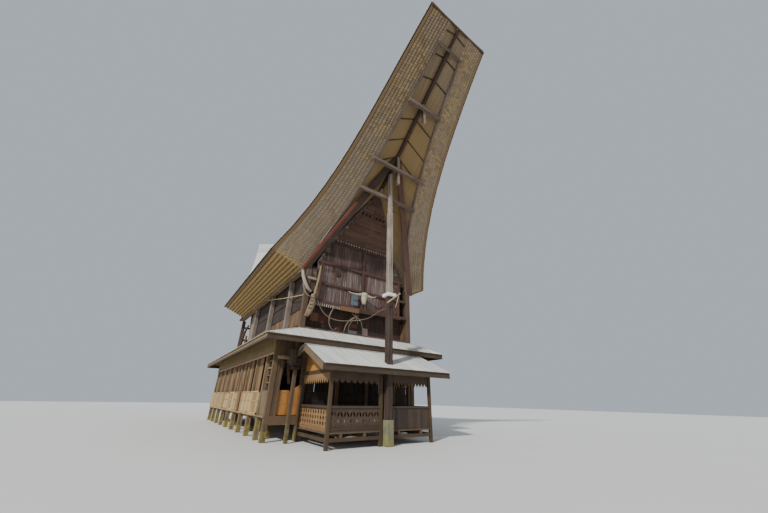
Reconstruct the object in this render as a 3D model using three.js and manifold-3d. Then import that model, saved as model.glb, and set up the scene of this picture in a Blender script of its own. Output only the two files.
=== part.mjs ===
// A timber house on posts with a saddle roof of stacked bamboo under metal sheets, a skirt roof and a front porch.
// Millimetres, +Z up. The origin is on the ground under the middle of the roof, and the porch front faces -Y.
import * as THREE from "three";
import { mergeVertices } from "three/addons/utils/BufferGeometryUtils.js";
import Module from "manifold-3d";

const wasm = await Module();
wasm.setup();

// Fit between touching pieces, overlap of parts within one piece, and the reach of a cutter.
const FIT = 0.3;
const LAP = 5;
const FAR = 20000;

// Main roof: level eaves over the body, then rakes that climb to a narrow tip at each end.
const EAVE_X = 3780;
const EAVE_Z = 6140;
const EAVE_CORNER_Y = 4850;
const TIP_X = 1480;
const TIP_Y = 11540;
const TIP_RISE = 8000;
const BAND_AT_EAVE = 1250;
const BAND_AT_TIP = 1000;
const BAND_DROP = 100;
const EAVE_DROP = 360;
const SOFFIT_RIDGE_Z = 8100;
const SOFFIT_STRAIGHT_Y = 7570;
const SOFFIT_RISE = 2550;
const SOFFIT_SLOPE = 0.905;
const RIDGE_Z = 9400;
const RIDGE_RISE = 5280;
const TIP_RAKE = 300;
const SHEET = 25;
const SHEET_LIP = 60;
const BODY_STATIONS = 3;
const PROW_STATIONS = 12;

// Upper body and its long posts.
const POST_X = 2350;
const POST = 180;
const POST_YS = [-5250, -3500, -950, 1900, 5250];
const CORNER_POST = 110;
const CORNER_POST_TOP = 2400;
const PLATE_OUT_X = 2520;
const PLATE_IN_X = 2340;
const PLATE_TOP = 5689;
const PLATE_DEPTH = 170;
const PLATE_END_Y = 5220;
const FLOOR_Z = 3300;
const FLOOR_T = 100;
const SILL = 200;
const SILL_DEPTH = 180;
const BOARD = 35;
const WALL_TOP = 5900;
const FRONT_WALL_Y = -4900;
const REAR_WALL_Y = 3500;

// Gable ends: a plank front with a leaning triangle above it and barge boards in front.
const FACADE_Y = 5200;
const FACADE_LOW = 4400;
const FACADE_SHOULDER = 5960;
const FACADE_TOP = 7050;
const FACADE_HALF_LOW = 1900;
const FACADE_HALF_SHOULDER = 2030;
const FACADE_HALF_TOP = 1560;
const GABLE_LEAN = Math.atan(0.43);
const GABLE_APEX_Z = 9560;
const BARGE_LEAN = Math.atan(0.4656);
const BARGE_FOOT_X = 2520;
const BARGE_FOOT_Z = 5519;
const BARGE_APEX_Z = 10650;
const BARGE_DEPTH = 270;
const BARGE_T = 50;
const BARGE_GAP = 4;

// Half widths of the leaning triangle at two heights below its apex.
const GABLE_EDGE = [
  [990, 8000],
  [390, 9000],
];

// Rails and stiles on the plank front. A ledge stands further out than a rail.
const RAIL_T = 80;
const RAIL_LEDGE = 40;
const LOW_RAIL = [4320, 4430];
const MID_RAIL = [5070, 5170];
const SHOULDER_RAIL = [5920, 6040];
const TOP_RAIL = 80;
const TOP_RAIL_SHORT = 160;
const STILE = 80;
const MID_STILE = 100;

// Frame under a prow.
const PURLIN_FROM_Y = -5300;
const PURLIN = 80;
const PURLIN_DEPTH = 100;
const PURLIN_GAP = 2;
const POLE_FROM_Y = -6330;
const POLE_GAP = 6;
const POLE_HALF = 60;
const POLE_DEPTH = 190;
const PROP_TIE = { half: 1420, thick: 120, low: 8700, top: 8830 };
const STUB = 120;
const TIES = [
  { half: 1310, front: -7800, thick: 120, low: 9670, top: 9800 },
  { half: 820, front: -9490, thick: 120, low: 11630, top: 11770 },
  { half: 620, front: -11010, thick: 70, low: 13330, top: 13420 },
];
const STUB_SPANS = [
  [9120, 10560],
  [10990, 12080],
];

// Free-standing posts that prop the two prows.
const PROP_Y = 7110;
const PLINTH = 260;
const PLINTH_TOP = 670;
const PROP = 200;
const PROP_MIDDLE = 180;
const PROP_UPPER = 140;
const COLLAR = 360;
const COLLAR_Z = 4450;
const COLLAR_T = 110;
const SPLICE_Z = 8000;
const PROP_TOP = 10000;

// Rope that hangs from the low rail of the front gable to the prop post, and the points along it.
const ROPE = 32;
const ROPE_STEP = 70;
const ROPE_SIDES = 8;
const ROPE_POINTS = [
  [-1970, -5320.3, 4375],
  [-1970, -5400, 4375],
  [-1938, -5448, 4310],
  [-1893, -5478, 4210],
  [-1845, -5500, 4100],
  [-1780, -5542, 3985],
  [-1700, -5610, 3870],
  [-1610, -5694, 3775],
  [-1500, -5797, 3700],
  [-1380, -5908, 3648],
  [-1260, -6020, 3622],
  [-1130, -6141, 3612],
  [-990, -6272, 3614],
  [-850, -6402, 3626],
  [-720, -6523, 3645],
  [-610, -6626, 3676],
  [-510, -6718, 3728],
  [-425, -6800, 3797],
  [-345, -6890, 3875],
  [-270, -6990, 3945],
  [-180, -7060, 3990],
  [-100.3, -7060, 3990],
];

// Lower gallery round the long posts.
const GALLERY_X = 2970;
const GALLERY_POST = 150;
const GALLERY_FRONT_Y = -4800;
const GALLERY_SECOND_Y = -4030;
const GALLERY_REAR_Y = 6200;
const GALLERY_BAYS = 8;
const LEDGE_Z = 640;
const LEDGE_TOP = 700;
const WAIST_TOP = 1400;
const BAND_LOW = 2500;
const FRONT_TOP = 3116;
const FRONT_POST_X = 620;
const LEDGE_OUT = 30;
const LEDGER = 60;
const LEDGER_T = 40;
const PANEL = 30;
const PANEL_IN = 30;
const BAND_IN = 15;
const THRESHOLD_Z = 450;
const THRESHOLD = 60;

// Skirt roof.
const SKIRT_X = 3600;
const SKIRT_Z = 2950;
const SKIRT_FRONT = -6000;
const SKIRT_REAR = 6700;
const SKIRT_TOP_X = POST_X + POST / 2 + FIT;
const SKIRT_TOP_Y = POST_YS.at(-1) + POST / 2 + FIT;
const SKIRT_TOP_Z = 3330;
const SKIRT_T = 40;
const FASCIA = 150;
const FASCIA_T = 30;

// Porch.
const PORCH_LEFT = -1900;
const PORCH_RIGHT = 1780;
const PORCH_FRONT = -7015;
const PORCH_BACK = -4950;
const PORCH_POST = 90;
const PORCH_TIMBER = 70;
const PORCH_MID_X = -215;
const PORCH_BEAM_Z = 180;
const PORCH_BEAM = 90;
const PORCH_FLOOR = 400;
const PORCH_PLATE_Z = 1890;
const PORCH_PLATE = 100;
const RAIL_TOP = 1030;
const PORCH_EAVE_Y = -7450;
const PORCH_EAVE_Z = 2080;
const PORCH_RIDGE_Y = -5930;
const PORCH_RIDGE_Z = 2740;
const PORCH_REAR_EAVE_Y = -5060;
const PORCH_REAR_EAVE_Z = 2470;
const PORCH_ROOF_X = 2400;
const PORCH_ROOF_T = 30;
const VALANCE_LOW = 1610;
const PORCH_OVERHANG = 40;
const PORCH_BOARD = 40;
const PORCH_JOIST = 70;
const PORCH_JOIST_XS = [-1500, -750, 450, 1350];
const RAIL = 60;
const PORCH_PANEL = 30;
const PORCH_SIDE_BOARD = 170;
const PORCH_EAVE_BOARD = 160;
const PORCH_EDGE_T = 25;
const ROOF_CLEAR = 10;

// Entrance gate between the gallery corner and the porch.
const GATE_LEFT = -2640;
const GATE_RIGHT = -1960;
const GATE_T = 32;
const GATE_LOW = 720;
const GATE_TOP = 1420;
const GATE_MEET_TOP = 1380;
const GATE_PEAK = 1590;
const GATE_PLAY = 6;
const GATE_MEET = 12;
const PIN_FROM_JAMB = 14;
const PIN_R = 4;
const PIN_GAP = 0.4;
const KNUCKLE_R = 8.5;
const KNUCKLE_H = 38;
const KNUCKLE_SEAT = 0.5;
const BRACKET = 10;
const BRACKET_DEPTH = 12;
const PIN_LOW = 6;
const PIN_PAST = 4;
const STRAP = 120;
const STRAP_T = 4;
const HINGE_ZS = [860, 1280];

const house = new THREE.Group();

function paint(color, roughness, metalness = 0) {
  return new THREE.MeshStandardMaterial({ color, roughness, metalness });
}

const bamboo = paint(0x8d7c5c, 0.9);
const sheetMetal = paint(0xcfd6d6, 0.45, 0.6);
const greyTimber = paint(0x7a6a58, 0.85);
const darkTimber = paint(0x4a342a, 0.85);
const redTimber = paint(0x8a4a32, 0.8);
const brownBoards = paint(0x6e5038, 0.85);
const tanBoards = paint(0x9a7c52, 0.85);
const concrete = paint(0x9b9a8c, 0.95);
const ropeFibre = paint(0x8f7d5c, 0.95);

function addPiece(name, geometry, material) {
  const mesh = new THREE.Mesh(geometry, material);
  mesh.name = name;
  house.add(mesh);
}

// A box from its lowest to its highest corner.
function block(x0, x1, y0, y1, z0, z1) {
  const g = new THREE.BoxGeometry(x1 - x0, y1 - y0, z1 - z0);
  g.translate((x0 + x1) / 2, (y0 + y1) / 2, (z0 + z1) / 2);
  return g;
}

// A square post by its centre.
function post(x, y, size, z0, z1) {
  const h = size / 2;
  return block(x - h, x + h, y - h, y + h, z0, z1);
}

// A round bar standing on z0.
function upright(x, y, r, z0, z1) {
  const g = new THREE.CylinderGeometry(r, r, z1 - z0, 16);
  g.rotateX(Math.PI / 2);
  g.translate(x, y, (z0 + z1) / 2);
  return g;
}

// A closed skin through sections of equal point count, each listed anticlockwise seen from the far end.
// The quads along an edge in mirrored are cut along their other diagonal.
function loft(sections, mirrored = []) {
  const n = sections[0].length;
  const index = [];
  const at = (i, j) => i * n + (j % n);
  for (let i = 0; i + 1 < sections.length; i++) {
    for (let j = 0; j < n; j++) {
      const [a, b, c, d] = [at(i, j), at(i, j + 1), at(i + 1, j + 1), at(i + 1, j)];
      if (mirrored.includes(j)) index.push(a, b, d, b, c, d);
      else index.push(a, b, c, a, c, d);
    }
  }
  const last = (sections.length - 1) * n;
  for (let j = 1; j + 1 < n; j++) {
    index.push(0, j + 1, j);
    index.push(last, last + j, last + j + 1);
  }
  const g = new THREE.BufferGeometry();
  g.setAttribute("position", new THREE.Float32BufferAttribute(sections.flat(2), 3));
  g.setIndex(index);
  g.computeVertexNormals();
  return g;
}

// A flat outline in X and Z, extruded along Y from y0 to y1.
function panel(points, y0, y1) {
  const shape = new THREE.Shape(points.map(([x, z]) => new THREE.Vector2(x, z)));
  const g = new THREE.ExtrudeGeometry(shape, { depth: y1 - y0, bevelEnabled: false });
  g.rotateX(Math.PI / 2);
  g.translate(0, y1, 0);
  return g;
}

// A flat outline in Y and Z, extruded along X from x0 to x1.
function sidePanel(points, x0, x1) {
  const shape = new THREE.Shape(points.map(([y, z]) => new THREE.Vector2(y, z)));
  const g = new THREE.ExtrudeGeometry(shape, { depth: x1 - x0, bevelEnabled: false });
  g.rotateX(Math.PI / 2);
  g.rotateZ(Math.PI / 2);
  g.translate(x0, 0, 0);
  return g;
}

function solidOf(geometry) {
  const bare = geometry.clone();
  bare.deleteAttribute("normal");
  bare.deleteAttribute("uv");
  const merged = mergeVertices(bare, 1e-3);
  const vertProperties = new Float32Array(merged.attributes.position.array);
  const triVerts = new Uint32Array(merged.index.array);
  return new wasm.Manifold(new wasm.Mesh({ numProp: 3, vertProperties, triVerts }));
}

function geometryOf(solid) {
  const mesh = solid.getMesh();
  const g = new THREE.BufferGeometry();
  g.setAttribute("position", new THREE.BufferAttribute(new Float32Array(mesh.vertProperties), 3));
  g.setIndex(new THREE.BufferAttribute(new Uint32Array(mesh.triVerts), 1));
  g.computeVertexNormals();
  return g;
}

function joined(pieces) {
  return geometryOf(pieces.map(solidOf).reduce((all, piece) => all.add(piece)));
}

function cut(geometry, tools) {
  return geometryOf(tools.map(solidOf).reduce((left, tool) => left.subtract(tool), solidOf(geometry)));
}

function inside(geometry, limit) {
  return geometryOf(solidOf(geometry).intersect(solidOf(limit)));
}

// The same piece at the other end or side, with its faces turned back.
function mirroredCopy(geometry, axis) {
  const g = geometry.clone();
  g.scale(axis === "x" ? -1 : 1, axis === "y" ? -1 : 1, 1);
  const index = g.index ? [...g.index.array] : [...Array(g.attributes.position.count).keys()];
  for (let i = 0; i < index.length; i += 3) {
    [index[i + 1], index[i + 2]] = [index[i + 2], index[i + 1]];
  }
  g.setIndex(index);
  g.computeVertexNormals();
  return g;
}

function lowered(geometry, amount) {
  const g = geometry.clone();
  g.translate(0, 0, -amount);
  return g;
}

// How far along the climb to the tip a cross-section lies, from 0 over the body to 1.
function climb(y) {
  return Math.max(0, (Math.abs(y) - EAVE_CORNER_Y) / (TIP_Y - EAVE_CORNER_Y));
}

// Outer top edge of the roof sheets.
function rake(y) {
  const t = climb(y);
  const left = 1 - t;
  return {
    x: TIP_X + ((EAVE_X - TIP_X) / 2) * (left + left ** 4),
    z: EAVE_Z + TIP_RISE * t * (1.2125 - 0.2125 * t),
  };
}

// Lower inner edge of the stacked bamboo.
function innerEdge(y) {
  const t = climb(y);
  const edge = rake(y);
  return {
    x: edge.x - BAND_AT_EAVE + (BAND_AT_EAVE - BAND_AT_TIP) * t,
    z: edge.z - BAND_DROP - EAVE_DROP * (1 - t) ** 8,
  };
}

// Underside of the roof at the middle.
function soffitRidge(y) {
  const far = Math.abs(y);
  if (far < SOFFIT_STRAIGHT_Y) return SOFFIT_RIDGE_Z + SOFFIT_RISE * (far / SOFFIT_STRAIGHT_Y) ** 2.7;
  return SOFFIT_RIDGE_Z + SOFFIT_RISE + SOFFIT_SLOPE * (far - SOFFIT_STRAIGHT_Y);
}

// Line along the ridge between the bamboo and the sheets.
function topRidge(y) {
  return RIDGE_Z + RIDGE_RISE * (Math.abs(y) / TIP_Y) ** 2.187;
}

// The ridge ends lean back from the tip.
function leanBack(y, amount) {
  return y - Math.sign(y) * amount * climb(y) ** 12;
}

// Places along the roof from the front tip to the middle.
function roofStations() {
  const ys = [];
  for (let i = 0; i < PROW_STATIONS; i++) {
    ys.push(-TIP_Y + ((TIP_Y - EAVE_CORNER_Y) * i) / PROW_STATIONS);
  }
  for (let i = 0; i <= BODY_STATIONS; i++) {
    ys.push((-EAVE_CORNER_Y * (BODY_STATIONS - i)) / BODY_STATIONS);
  }
  return ys;
}

// A front part and its copy behind the middle, as one.
function frontAndRear(front) {
  return joined([front, mirroredCopy(front, "y")]);
}

// Underside of the sheets at their edge and at the last bamboo that bears them.
function sheetSeat(y) {
  const edge = rake(y);
  const slope = (topRidge(leanBack(y, TIP_RAKE)) + SHEET - edge.z) / edge.x;
  return { edge, restX: edge.x - SHEET_LIP, restZ: edge.z - SHEET + slope * SHEET_LIP };
}

// Right half of the stacked bamboo.
function bambooHalf() {
  const sections = roofStations().map((y) => {
    const { restX, restZ } = sheetSeat(y);
    const inner = innerEdge(y);
    const low = leanBack(y, TIP_RAKE / 3);
    const top = leanBack(y, TIP_RAKE);
    return [
      [FIT / 2, top, topRidge(top) - FIT],
      [restX, y, restZ - FIT],
      [inner.x, y, inner.z],
      [FIT / 2, low, soffitRidge(low)],
    ];
  });
  return frontAndRear(loft(sections, [0]));
}

// Right half of the metal sheets, lying on the bamboo and reaching past it.
function sheetHalf() {
  const sections = roofStations().map((y) => {
    const { edge, restX, restZ } = sheetSeat(y);
    const top = leanBack(y, TIP_RAKE);
    return [
      [FIT / 2, top, topRidge(top) + SHEET],
      [edge.x, y, edge.z],
      [edge.x, y, edge.z - SHEET],
      [restX, y, restZ],
      [FIT / 2, top, topRidge(top)],
    ];
  });
  return frontAndRear(loft(sections, [0]));
}

const bambooRight = bambooHalf();
const sheetsRight = sheetHalf();
addPiece("roof_bamboo_left", mirroredCopy(bambooRight, "x"), bamboo);
addPiece("roof_bamboo_right", bambooRight, bamboo);
addPiece("roof_sheets_left", mirroredCopy(sheetsRight, "x"), sheetMetal);
addPiece("roof_sheets_right", sheetsRight, sheetMetal);

// Frame under a prow: edge purlins, ridge pole, ties across and the stubs that hang from the pole.
function prowFrame() {
  const ys = roofStations().filter((y) => y < PURLIN_FROM_Y && y > -TIP_Y);
  const purlin = (side) => {
    const sections = ys.map((y) => {
      const e = innerEdge(y);
      const [a, b] = [side * e.x - PURLIN / 2, side * e.x + PURLIN / 2];
      return [
        [a, y, e.z - PURLIN_DEPTH],
        [a, y, e.z - PURLIN_GAP],
        [b, y, e.z - PURLIN_GAP],
        [b, y, e.z - PURLIN_DEPTH],
      ];
    });
    return loft(sections);
  };
  const poleYs = [...ys.filter((y) => y < POLE_FROM_Y - POLE_HALF), POLE_FROM_Y];
  const poleSections = poleYs.map((y) => {
    const e = innerEdge(y);
    const top = soffitRidge(y) - POLE_GAP;
    const fall = (POLE_HALF * (top - e.z)) / e.x;
    return [
      [-POLE_HALF, y, top - POLE_DEPTH],
      [-POLE_HALF, y, top - fall],
      [0, y, top],
      [POLE_HALF, y, top - fall],
      [POLE_HALF, y, top - POLE_DEPTH],
    ];
  });
  const tieY = -PROP_Y + PROP_UPPER / 2 + FIT;
  const tie = ({ half, front, thick, low, top }) => block(-half, half, front, front + thick, low, top);
  const stubs = STUB_SPANS.map(([low, top], i) => {
    const front = TIES[i].front + TIES[i].thick - LAP;
    return block(-STUB / 2, STUB / 2, front, front + STUB, low, top);
  });
  return joined([
    purlin(-1),
    purlin(1),
    loft(poleSections),
    tie({ ...PROP_TIE, front: tieY }),
    ...TIES.map(tie),
    ...stubs,
  ]);
}
const frontProw = prowFrame();
addPiece("front_prow_frame", frontProw, greyTimber);
addPiece("rear_prow_frame", mirroredCopy(frontProw, "y"), greyTimber);

// Plank front and the leaning triangle above it, as one wall.
function gableWall() {
  const right = [
    [FACADE_HALF_LOW, FACADE_LOW],
    [FACADE_HALF_SHOULDER, FACADE_SHOULDER],
    [FACADE_HALF_TOP, FACADE_TOP],
  ];
  const left = right.map(([x, z]) => [-x, z]).reverse();
  const planks = panel([...right, ...left], -FACADE_Y, -FACADE_Y + BOARD);
  const slant = (z) => (z - FACADE_TOP) / Math.cos(GABLE_LEAN);
  const edge = [[FACADE_HALF_TOP, -4 * LAP], ...GABLE_EDGE.map(([x, z]) => [x, slant(z)])];
  const otherEdge = edge.map(([x, z]) => [-x, z]).reverse();
  const triangle = panel([...edge, [0, slant(GABLE_APEX_Z)], ...otherEdge], 0, BOARD);
  triangle.rotateX(GABLE_LEAN);
  triangle.translate(0, -FACADE_Y, FACADE_TOP);
  return joined([planks, triangle]);
}
const frontGable = gableWall();
addPiece("front_gable_wall", frontGable, redTimber);
addPiece("rear_gable_wall", mirroredCopy(frontGable, "y"), redTimber);

// Rails, toothed ledges and stiles that hold the plank front between the corner posts.
function gableRails() {
  const front = -FACADE_Y - RAIL_T;
  const back = -FACADE_Y - FIT;
  const between = POST_X - POST / 2 - FIT;
  const sideStileX = FACADE_HALF_LOW - STILE / 2;
  const rail = (half, [z0, z1], proud = 0) => block(-half, half, front - proud, back, z0, z1);
  const stile = (x, width, top) => block(x - width / 2, x + width / 2, front, back, FACADE_LOW, top);
  return joined([
    rail(between, LOW_RAIL, RAIL_LEDGE),
    rail(between, MID_RAIL),
    rail(FACADE_HALF_SHOULDER, SHOULDER_RAIL),
    rail(FACADE_HALF_TOP - TOP_RAIL_SHORT, [FACADE_TOP - TOP_RAIL, FACADE_TOP], RAIL_LEDGE),
    stile(0, MID_STILE, FACADE_TOP - LAP),
    stile(-sideStileX, STILE, FACADE_SHOULDER),
    stile(sideStileX, STILE, FACADE_SHOULDER),
  ]);
}
const frontRails = gableRails();
addPiece("front_gable_rails", frontRails, darkTimber);
addPiece("rear_gable_rails", mirroredCopy(frontRails, "y"), darkTimber);

// Right barge board, from the corner post up to the ridge pole and the roof.
function bargeBoard() {
  const rise = (BARGE_APEX_Z - BARGE_FOOT_Z) / Math.cos(BARGE_LEAN);
  const length = Math.hypot(BARGE_FOOT_X, rise);
  const [ux, uz] = [-BARGE_FOOT_X / length, rise / length];
  const [sx, sz] = [(uz * BARGE_DEPTH) / 2, (-ux * BARGE_DEPTH) / 2];
  const foot = BARGE_DEPTH / 2 / uz;
  const g = panel(
    [
      [BARGE_FOOT_X - foot, 0],
      [BARGE_FOOT_X + foot, 0],
      [sx, rise + sz],
      [-sx, rise - sz],
    ],
    -BARGE_T / 2,
    BARGE_T / 2,
  );
  g.rotateX(BARGE_LEAN);
  g.translate(0, -FACADE_Y - BARGE_T, BARGE_FOOT_Z);
  const underFoot = block(-FAR, FAR, -FAR, FAR, 0, BARGE_FOOT_Z);
  const beyondPole = block(-FAR, POLE_HALF + FIT, -FAR, FAR, 0, FAR);
  return cut(g, [lowered(bambooRight, BARGE_GAP), underFoot, beyondPole]);
}
const bargeRight = bargeBoard();
const bargeLeft = mirroredCopy(bargeRight, "x");
addPiece("front_barge_board_left", bargeLeft, redTimber);
addPiece("front_barge_board_right", bargeRight, greyTimber);
addPiece("rear_barge_board_left", mirroredCopy(bargeLeft, "y"), redTimber);
addPiece("rear_barge_board_right", mirroredCopy(bargeRight, "y"), greyTimber);

// Right row of long posts with the sill they carry, and the wall plate on top.
function postRow() {
  const top = PLATE_TOP - PLATE_DEPTH - FIT;
  const [cornerY, ...otherYs] = POST_YS;
  const posts = otherYs.map((y) => post(POST_X, y, POST, 0, top));
  posts.push(post(POST_X, cornerY, POST, CORNER_POST_TOP, top));
  posts.push(post(POST_X, cornerY, CORNER_POST, 0, CORNER_POST_TOP + LAP));
  const ends = POST_YS.at(-1) + POST / 2;
  const sill = block(POST_X - SILL, POST_X, -ends, ends, FLOOR_Z - SILL_DEPTH, FLOOR_Z - FIT);
  return joined([...posts, sill]);
}
const rowRight = postRow();
const plateLow = PLATE_TOP - PLATE_DEPTH;
const plateRight = block(PLATE_IN_X, PLATE_OUT_X, -PLATE_END_Y, PLATE_END_Y, plateLow, PLATE_TOP);
addPiece("post_row_left", mirroredCopy(rowRight, "x"), greyTimber);
addPiece("post_row_right", rowRight, greyTimber);
addPiece("wall_plate_left", mirroredCopy(plateRight, "x"), greyTimber);
addPiece("wall_plate_right", plateRight, greyTimber);

// Room of the upper body: floor on the sills and four plank walls.
const roomX = POST_X - POST / 2 - FIT;
const roomEnd = POST_YS.at(-1) + POST / 2;
const wallLow = FLOOR_Z + FLOOR_T + FIT;
const endHalf = roomX - BOARD - FIT;
const roomFloor = block(-roomX, roomX, -roomEnd, roomEnd, FLOOR_Z, FLOOR_Z + FLOOR_T);
const sideBoards = block(roomX - BOARD, roomX, -FACADE_Y, REAR_WALL_Y, wallLow, WALL_TOP);
const frontBoards = block(-endHalf, endHalf, FRONT_WALL_Y, FRONT_WALL_Y + BOARD, wallLow, WALL_TOP);
const rearBoards = block(-endHalf, endHalf, REAR_WALL_Y - BOARD, REAR_WALL_Y, wallLow, WALL_TOP);
addPiece("room_floor", roomFloor, greyTimber);
addPiece("room_wall_left", mirroredCopy(sideBoards, "x"), brownBoards);
addPiece("room_wall_right", sideBoards, brownBoards);
addPiece("room_wall_front", frontBoards, brownBoards);
addPiece("room_wall_rear", rearBoards, brownBoards);

// Prop post on its concrete plinth: a lower length, a square collar and an upper length, thinner above its splice.
const propUpper = joined([
  post(0, -PROP_Y, PROP_MIDDLE, COLLAR_Z + COLLAR_T + FIT, SPLICE_Z),
  post(0, -PROP_Y, PROP_UPPER, SPLICE_Z - LAP, PROP_TOP),
]);
for (const [name, frontPart, material] of [
  ["prop_plinth", post(0, -PROP_Y, PLINTH, 0, PLINTH_TOP), concrete],
  ["prop_post", post(0, -PROP_Y, PROP, PLINTH_TOP + FIT, COLLAR_Z - FIT), darkTimber],
  ["prop_collar", post(0, -PROP_Y, COLLAR, COLLAR_Z, COLLAR_Z + COLLAR_T), greyTimber],
  ["prop_upper", propUpper, greyTimber],
]) {
  addPiece(`front_${name}`, frontPart, material);
  addPiece(`rear_${name}`, mirroredCopy(frontPart, "y"), material);
}

// Rope through its points, with flat ends on the rail and on the prop post.
function ropeTube() {
  const curve = new THREE.CatmullRomCurve3(ROPE_POINTS.map((point) => new THREE.Vector3(...point)));
  const section = new THREE.Shape();
  for (let i = 0; i < ROPE_SIDES; i++) {
    const angle = (2 * Math.PI * i) / ROPE_SIDES;
    const corner = [(ROPE / 2) * Math.cos(angle), (ROPE / 2) * Math.sin(angle)];
    if (i === 0) section.moveTo(...corner);
    else section.lineTo(...corner);
  }
  const steps = Math.round(curve.getLength() / ROPE_STEP);
  return new THREE.ExtrudeGeometry(section, { steps, extrudePath: curve, bevelEnabled: false });
}
addPiece("front_rope", ropeTube(), ropeFibre);

function rectangle(x, front, rear, z) {
  return [
    [-x, front, z],
    [x, front, z],
    [x, rear, z],
    [-x, rear, z],
  ];
}

// Everything under the skirt roof's slopes, down to the given level.
function underSkirt(drop, bottom) {
  return loft([
    rectangle(SKIRT_X, SKIRT_FRONT, SKIRT_REAR, bottom),
    rectangle(SKIRT_X, SKIRT_FRONT, SKIRT_REAR, SKIRT_Z - drop),
    rectangle(SKIRT_TOP_X, -SKIRT_TOP_Y, SKIRT_TOP_Y, SKIRT_TOP_Z - drop),
  ]);
}

const throughBody = block(-SKIRT_TOP_X, SKIRT_TOP_X, -SKIRT_TOP_Y, SKIRT_TOP_Y, 0, FAR);
const skirt = cut(underSkirt(0, SKIRT_Z - SKIRT_T), [underSkirt(SKIRT_T, 0), throughBody]);
addPiece("skirt_roof", skirt, sheetMetal);

// Board ring hung under the skirt roof's outer edge.
function skirtFascia() {
  const top = SKIRT_Z - SKIRT_T - FIT;
  const low = SKIRT_Z - SKIRT_T - FASCIA;
  const x = SKIRT_X - FASCIA_T;
  const ring = block(-SKIRT_X, SKIRT_X, SKIRT_FRONT, SKIRT_REAR, low, top);
  return cut(ring, [block(-x, x, SKIRT_FRONT + FASCIA_T, SKIRT_REAR - FASCIA_T, 0, FAR)]);
}
addPiece("skirt_fascia", skirtFascia(), greyTimber);

// Gallery walls: posts to the ground, a ledge, waist-high boards, and a wide band under the skirt roof.
const galleryHalf = GALLERY_POST / 2;
const panelFar = PANEL_IN + PANEL;
const bandFar = BAND_IN + PANEL;
const galleryIn = GALLERY_X - GALLERY_POST;
const galleryEnd = galleryIn - FIT;
const underSkirtRoof = underSkirt(SKIRT_T + FIT, 0);

const sideFront = GALLERY_FRONT_Y - galleryHalf;
const sideRear = GALLERY_REAR_Y + galleryHalf;
const boardIn = GALLERY_X + FIT;

// Ten posts of one side on their ledge, with a recessed panel in the short first bay.
function sidePosts() {
  const step = (GALLERY_REAR_Y - GALLERY_SECOND_Y) / GALLERY_BAYS;
  const ys = [GALLERY_FRONT_Y];
  for (let i = 0; i <= GALLERY_BAYS; i++) ys.push(GALLERY_SECOND_Y + i * step);
  const ledgerTop = LEDGE_Z - LEDGER_T;
  const [ledgerFront, ledgerRear] = [sideFront + GALLERY_POST, sideRear - GALLERY_POST];
  const [panelIn, panelOut] = [GALLERY_X - panelFar, GALLERY_X - PANEL_IN];
  const posts = joined([
    ...ys.map((y) => post(GALLERY_X - galleryHalf, y, GALLERY_POST, 0, FLOOR_Z)),
    block(galleryIn, GALLERY_X + LEDGE_OUT, sideFront, sideRear, LEDGE_Z, LEDGE_TOP),
    block(galleryIn - LEDGER, galleryIn + LAP, ledgerFront, ledgerRear, ledgerTop - LEDGER_T, ledgerTop),
    block(panelIn, panelOut, GALLERY_FRONT_Y, GALLERY_SECOND_Y, LEDGE_TOP - LAP, WAIST_TOP),
  ]);
  return inside(posts, underSkirtRoof);
}

// Boards on the outer faces of the posts, behind the second post along the ledge and from end to end above.
function sideWaist() {
  const front = GALLERY_SECOND_Y + galleryHalf;
  return block(boardIn, boardIn + PANEL, front, sideRear, LEDGE_TOP + FIT, WAIST_TOP);
}

function sideBand() {
  const band = block(boardIn, boardIn + PANEL, sideFront, sideRear, BAND_LOW, FLOOR_Z);
  return inside(band, underSkirtRoof);
}

function rearGallery() {
  const [near, far] = [GALLERY_REAR_Y - galleryHalf, GALLERY_REAR_Y + galleryHalf];
  const posts = [-galleryEnd / 2, 0, galleryEnd / 2];
  const wall = joined([
    ...posts.map((x) => post(x, GALLERY_REAR_Y, GALLERY_POST, 0, FLOOR_Z)),
    block(-galleryEnd, galleryEnd, near, far + LEDGE_OUT, LEDGE_Z, LEDGE_TOP),
    block(-galleryEnd, galleryEnd, far - panelFar, far - PANEL_IN, LEDGE_TOP - LAP, WAIST_TOP),
    block(-galleryEnd, galleryEnd, far - bandFar, far - BAND_IN, BAND_LOW, FLOOR_Z),
  ]);
  return inside(wall, underSkirtRoof);
}

// Pin on a bracket out of the gate jamb, side 1 where the jamb is left of its leaf and -1 where it is right.
function gatePin(jambX, side, z) {
  const x = jambX + side * PIN_FROM_JAMB;
  const y = GALLERY_FRONT_Y + GATE_T / 2 + KNUCKLE_R - KNUCKLE_SEAT;
  const half = BRACKET / 2;
  const ends = [jambX - side * half, x + side * half].sort((a, b) => a - b);
  const bracket = block(...ends, y - half, y + half, z - BRACKET_DEPTH, z - FIT);
  return [bracket, upright(x, y, PIN_R, z - PIN_LOW, z + KNUCKLE_H + PIN_PAST)];
}

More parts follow.
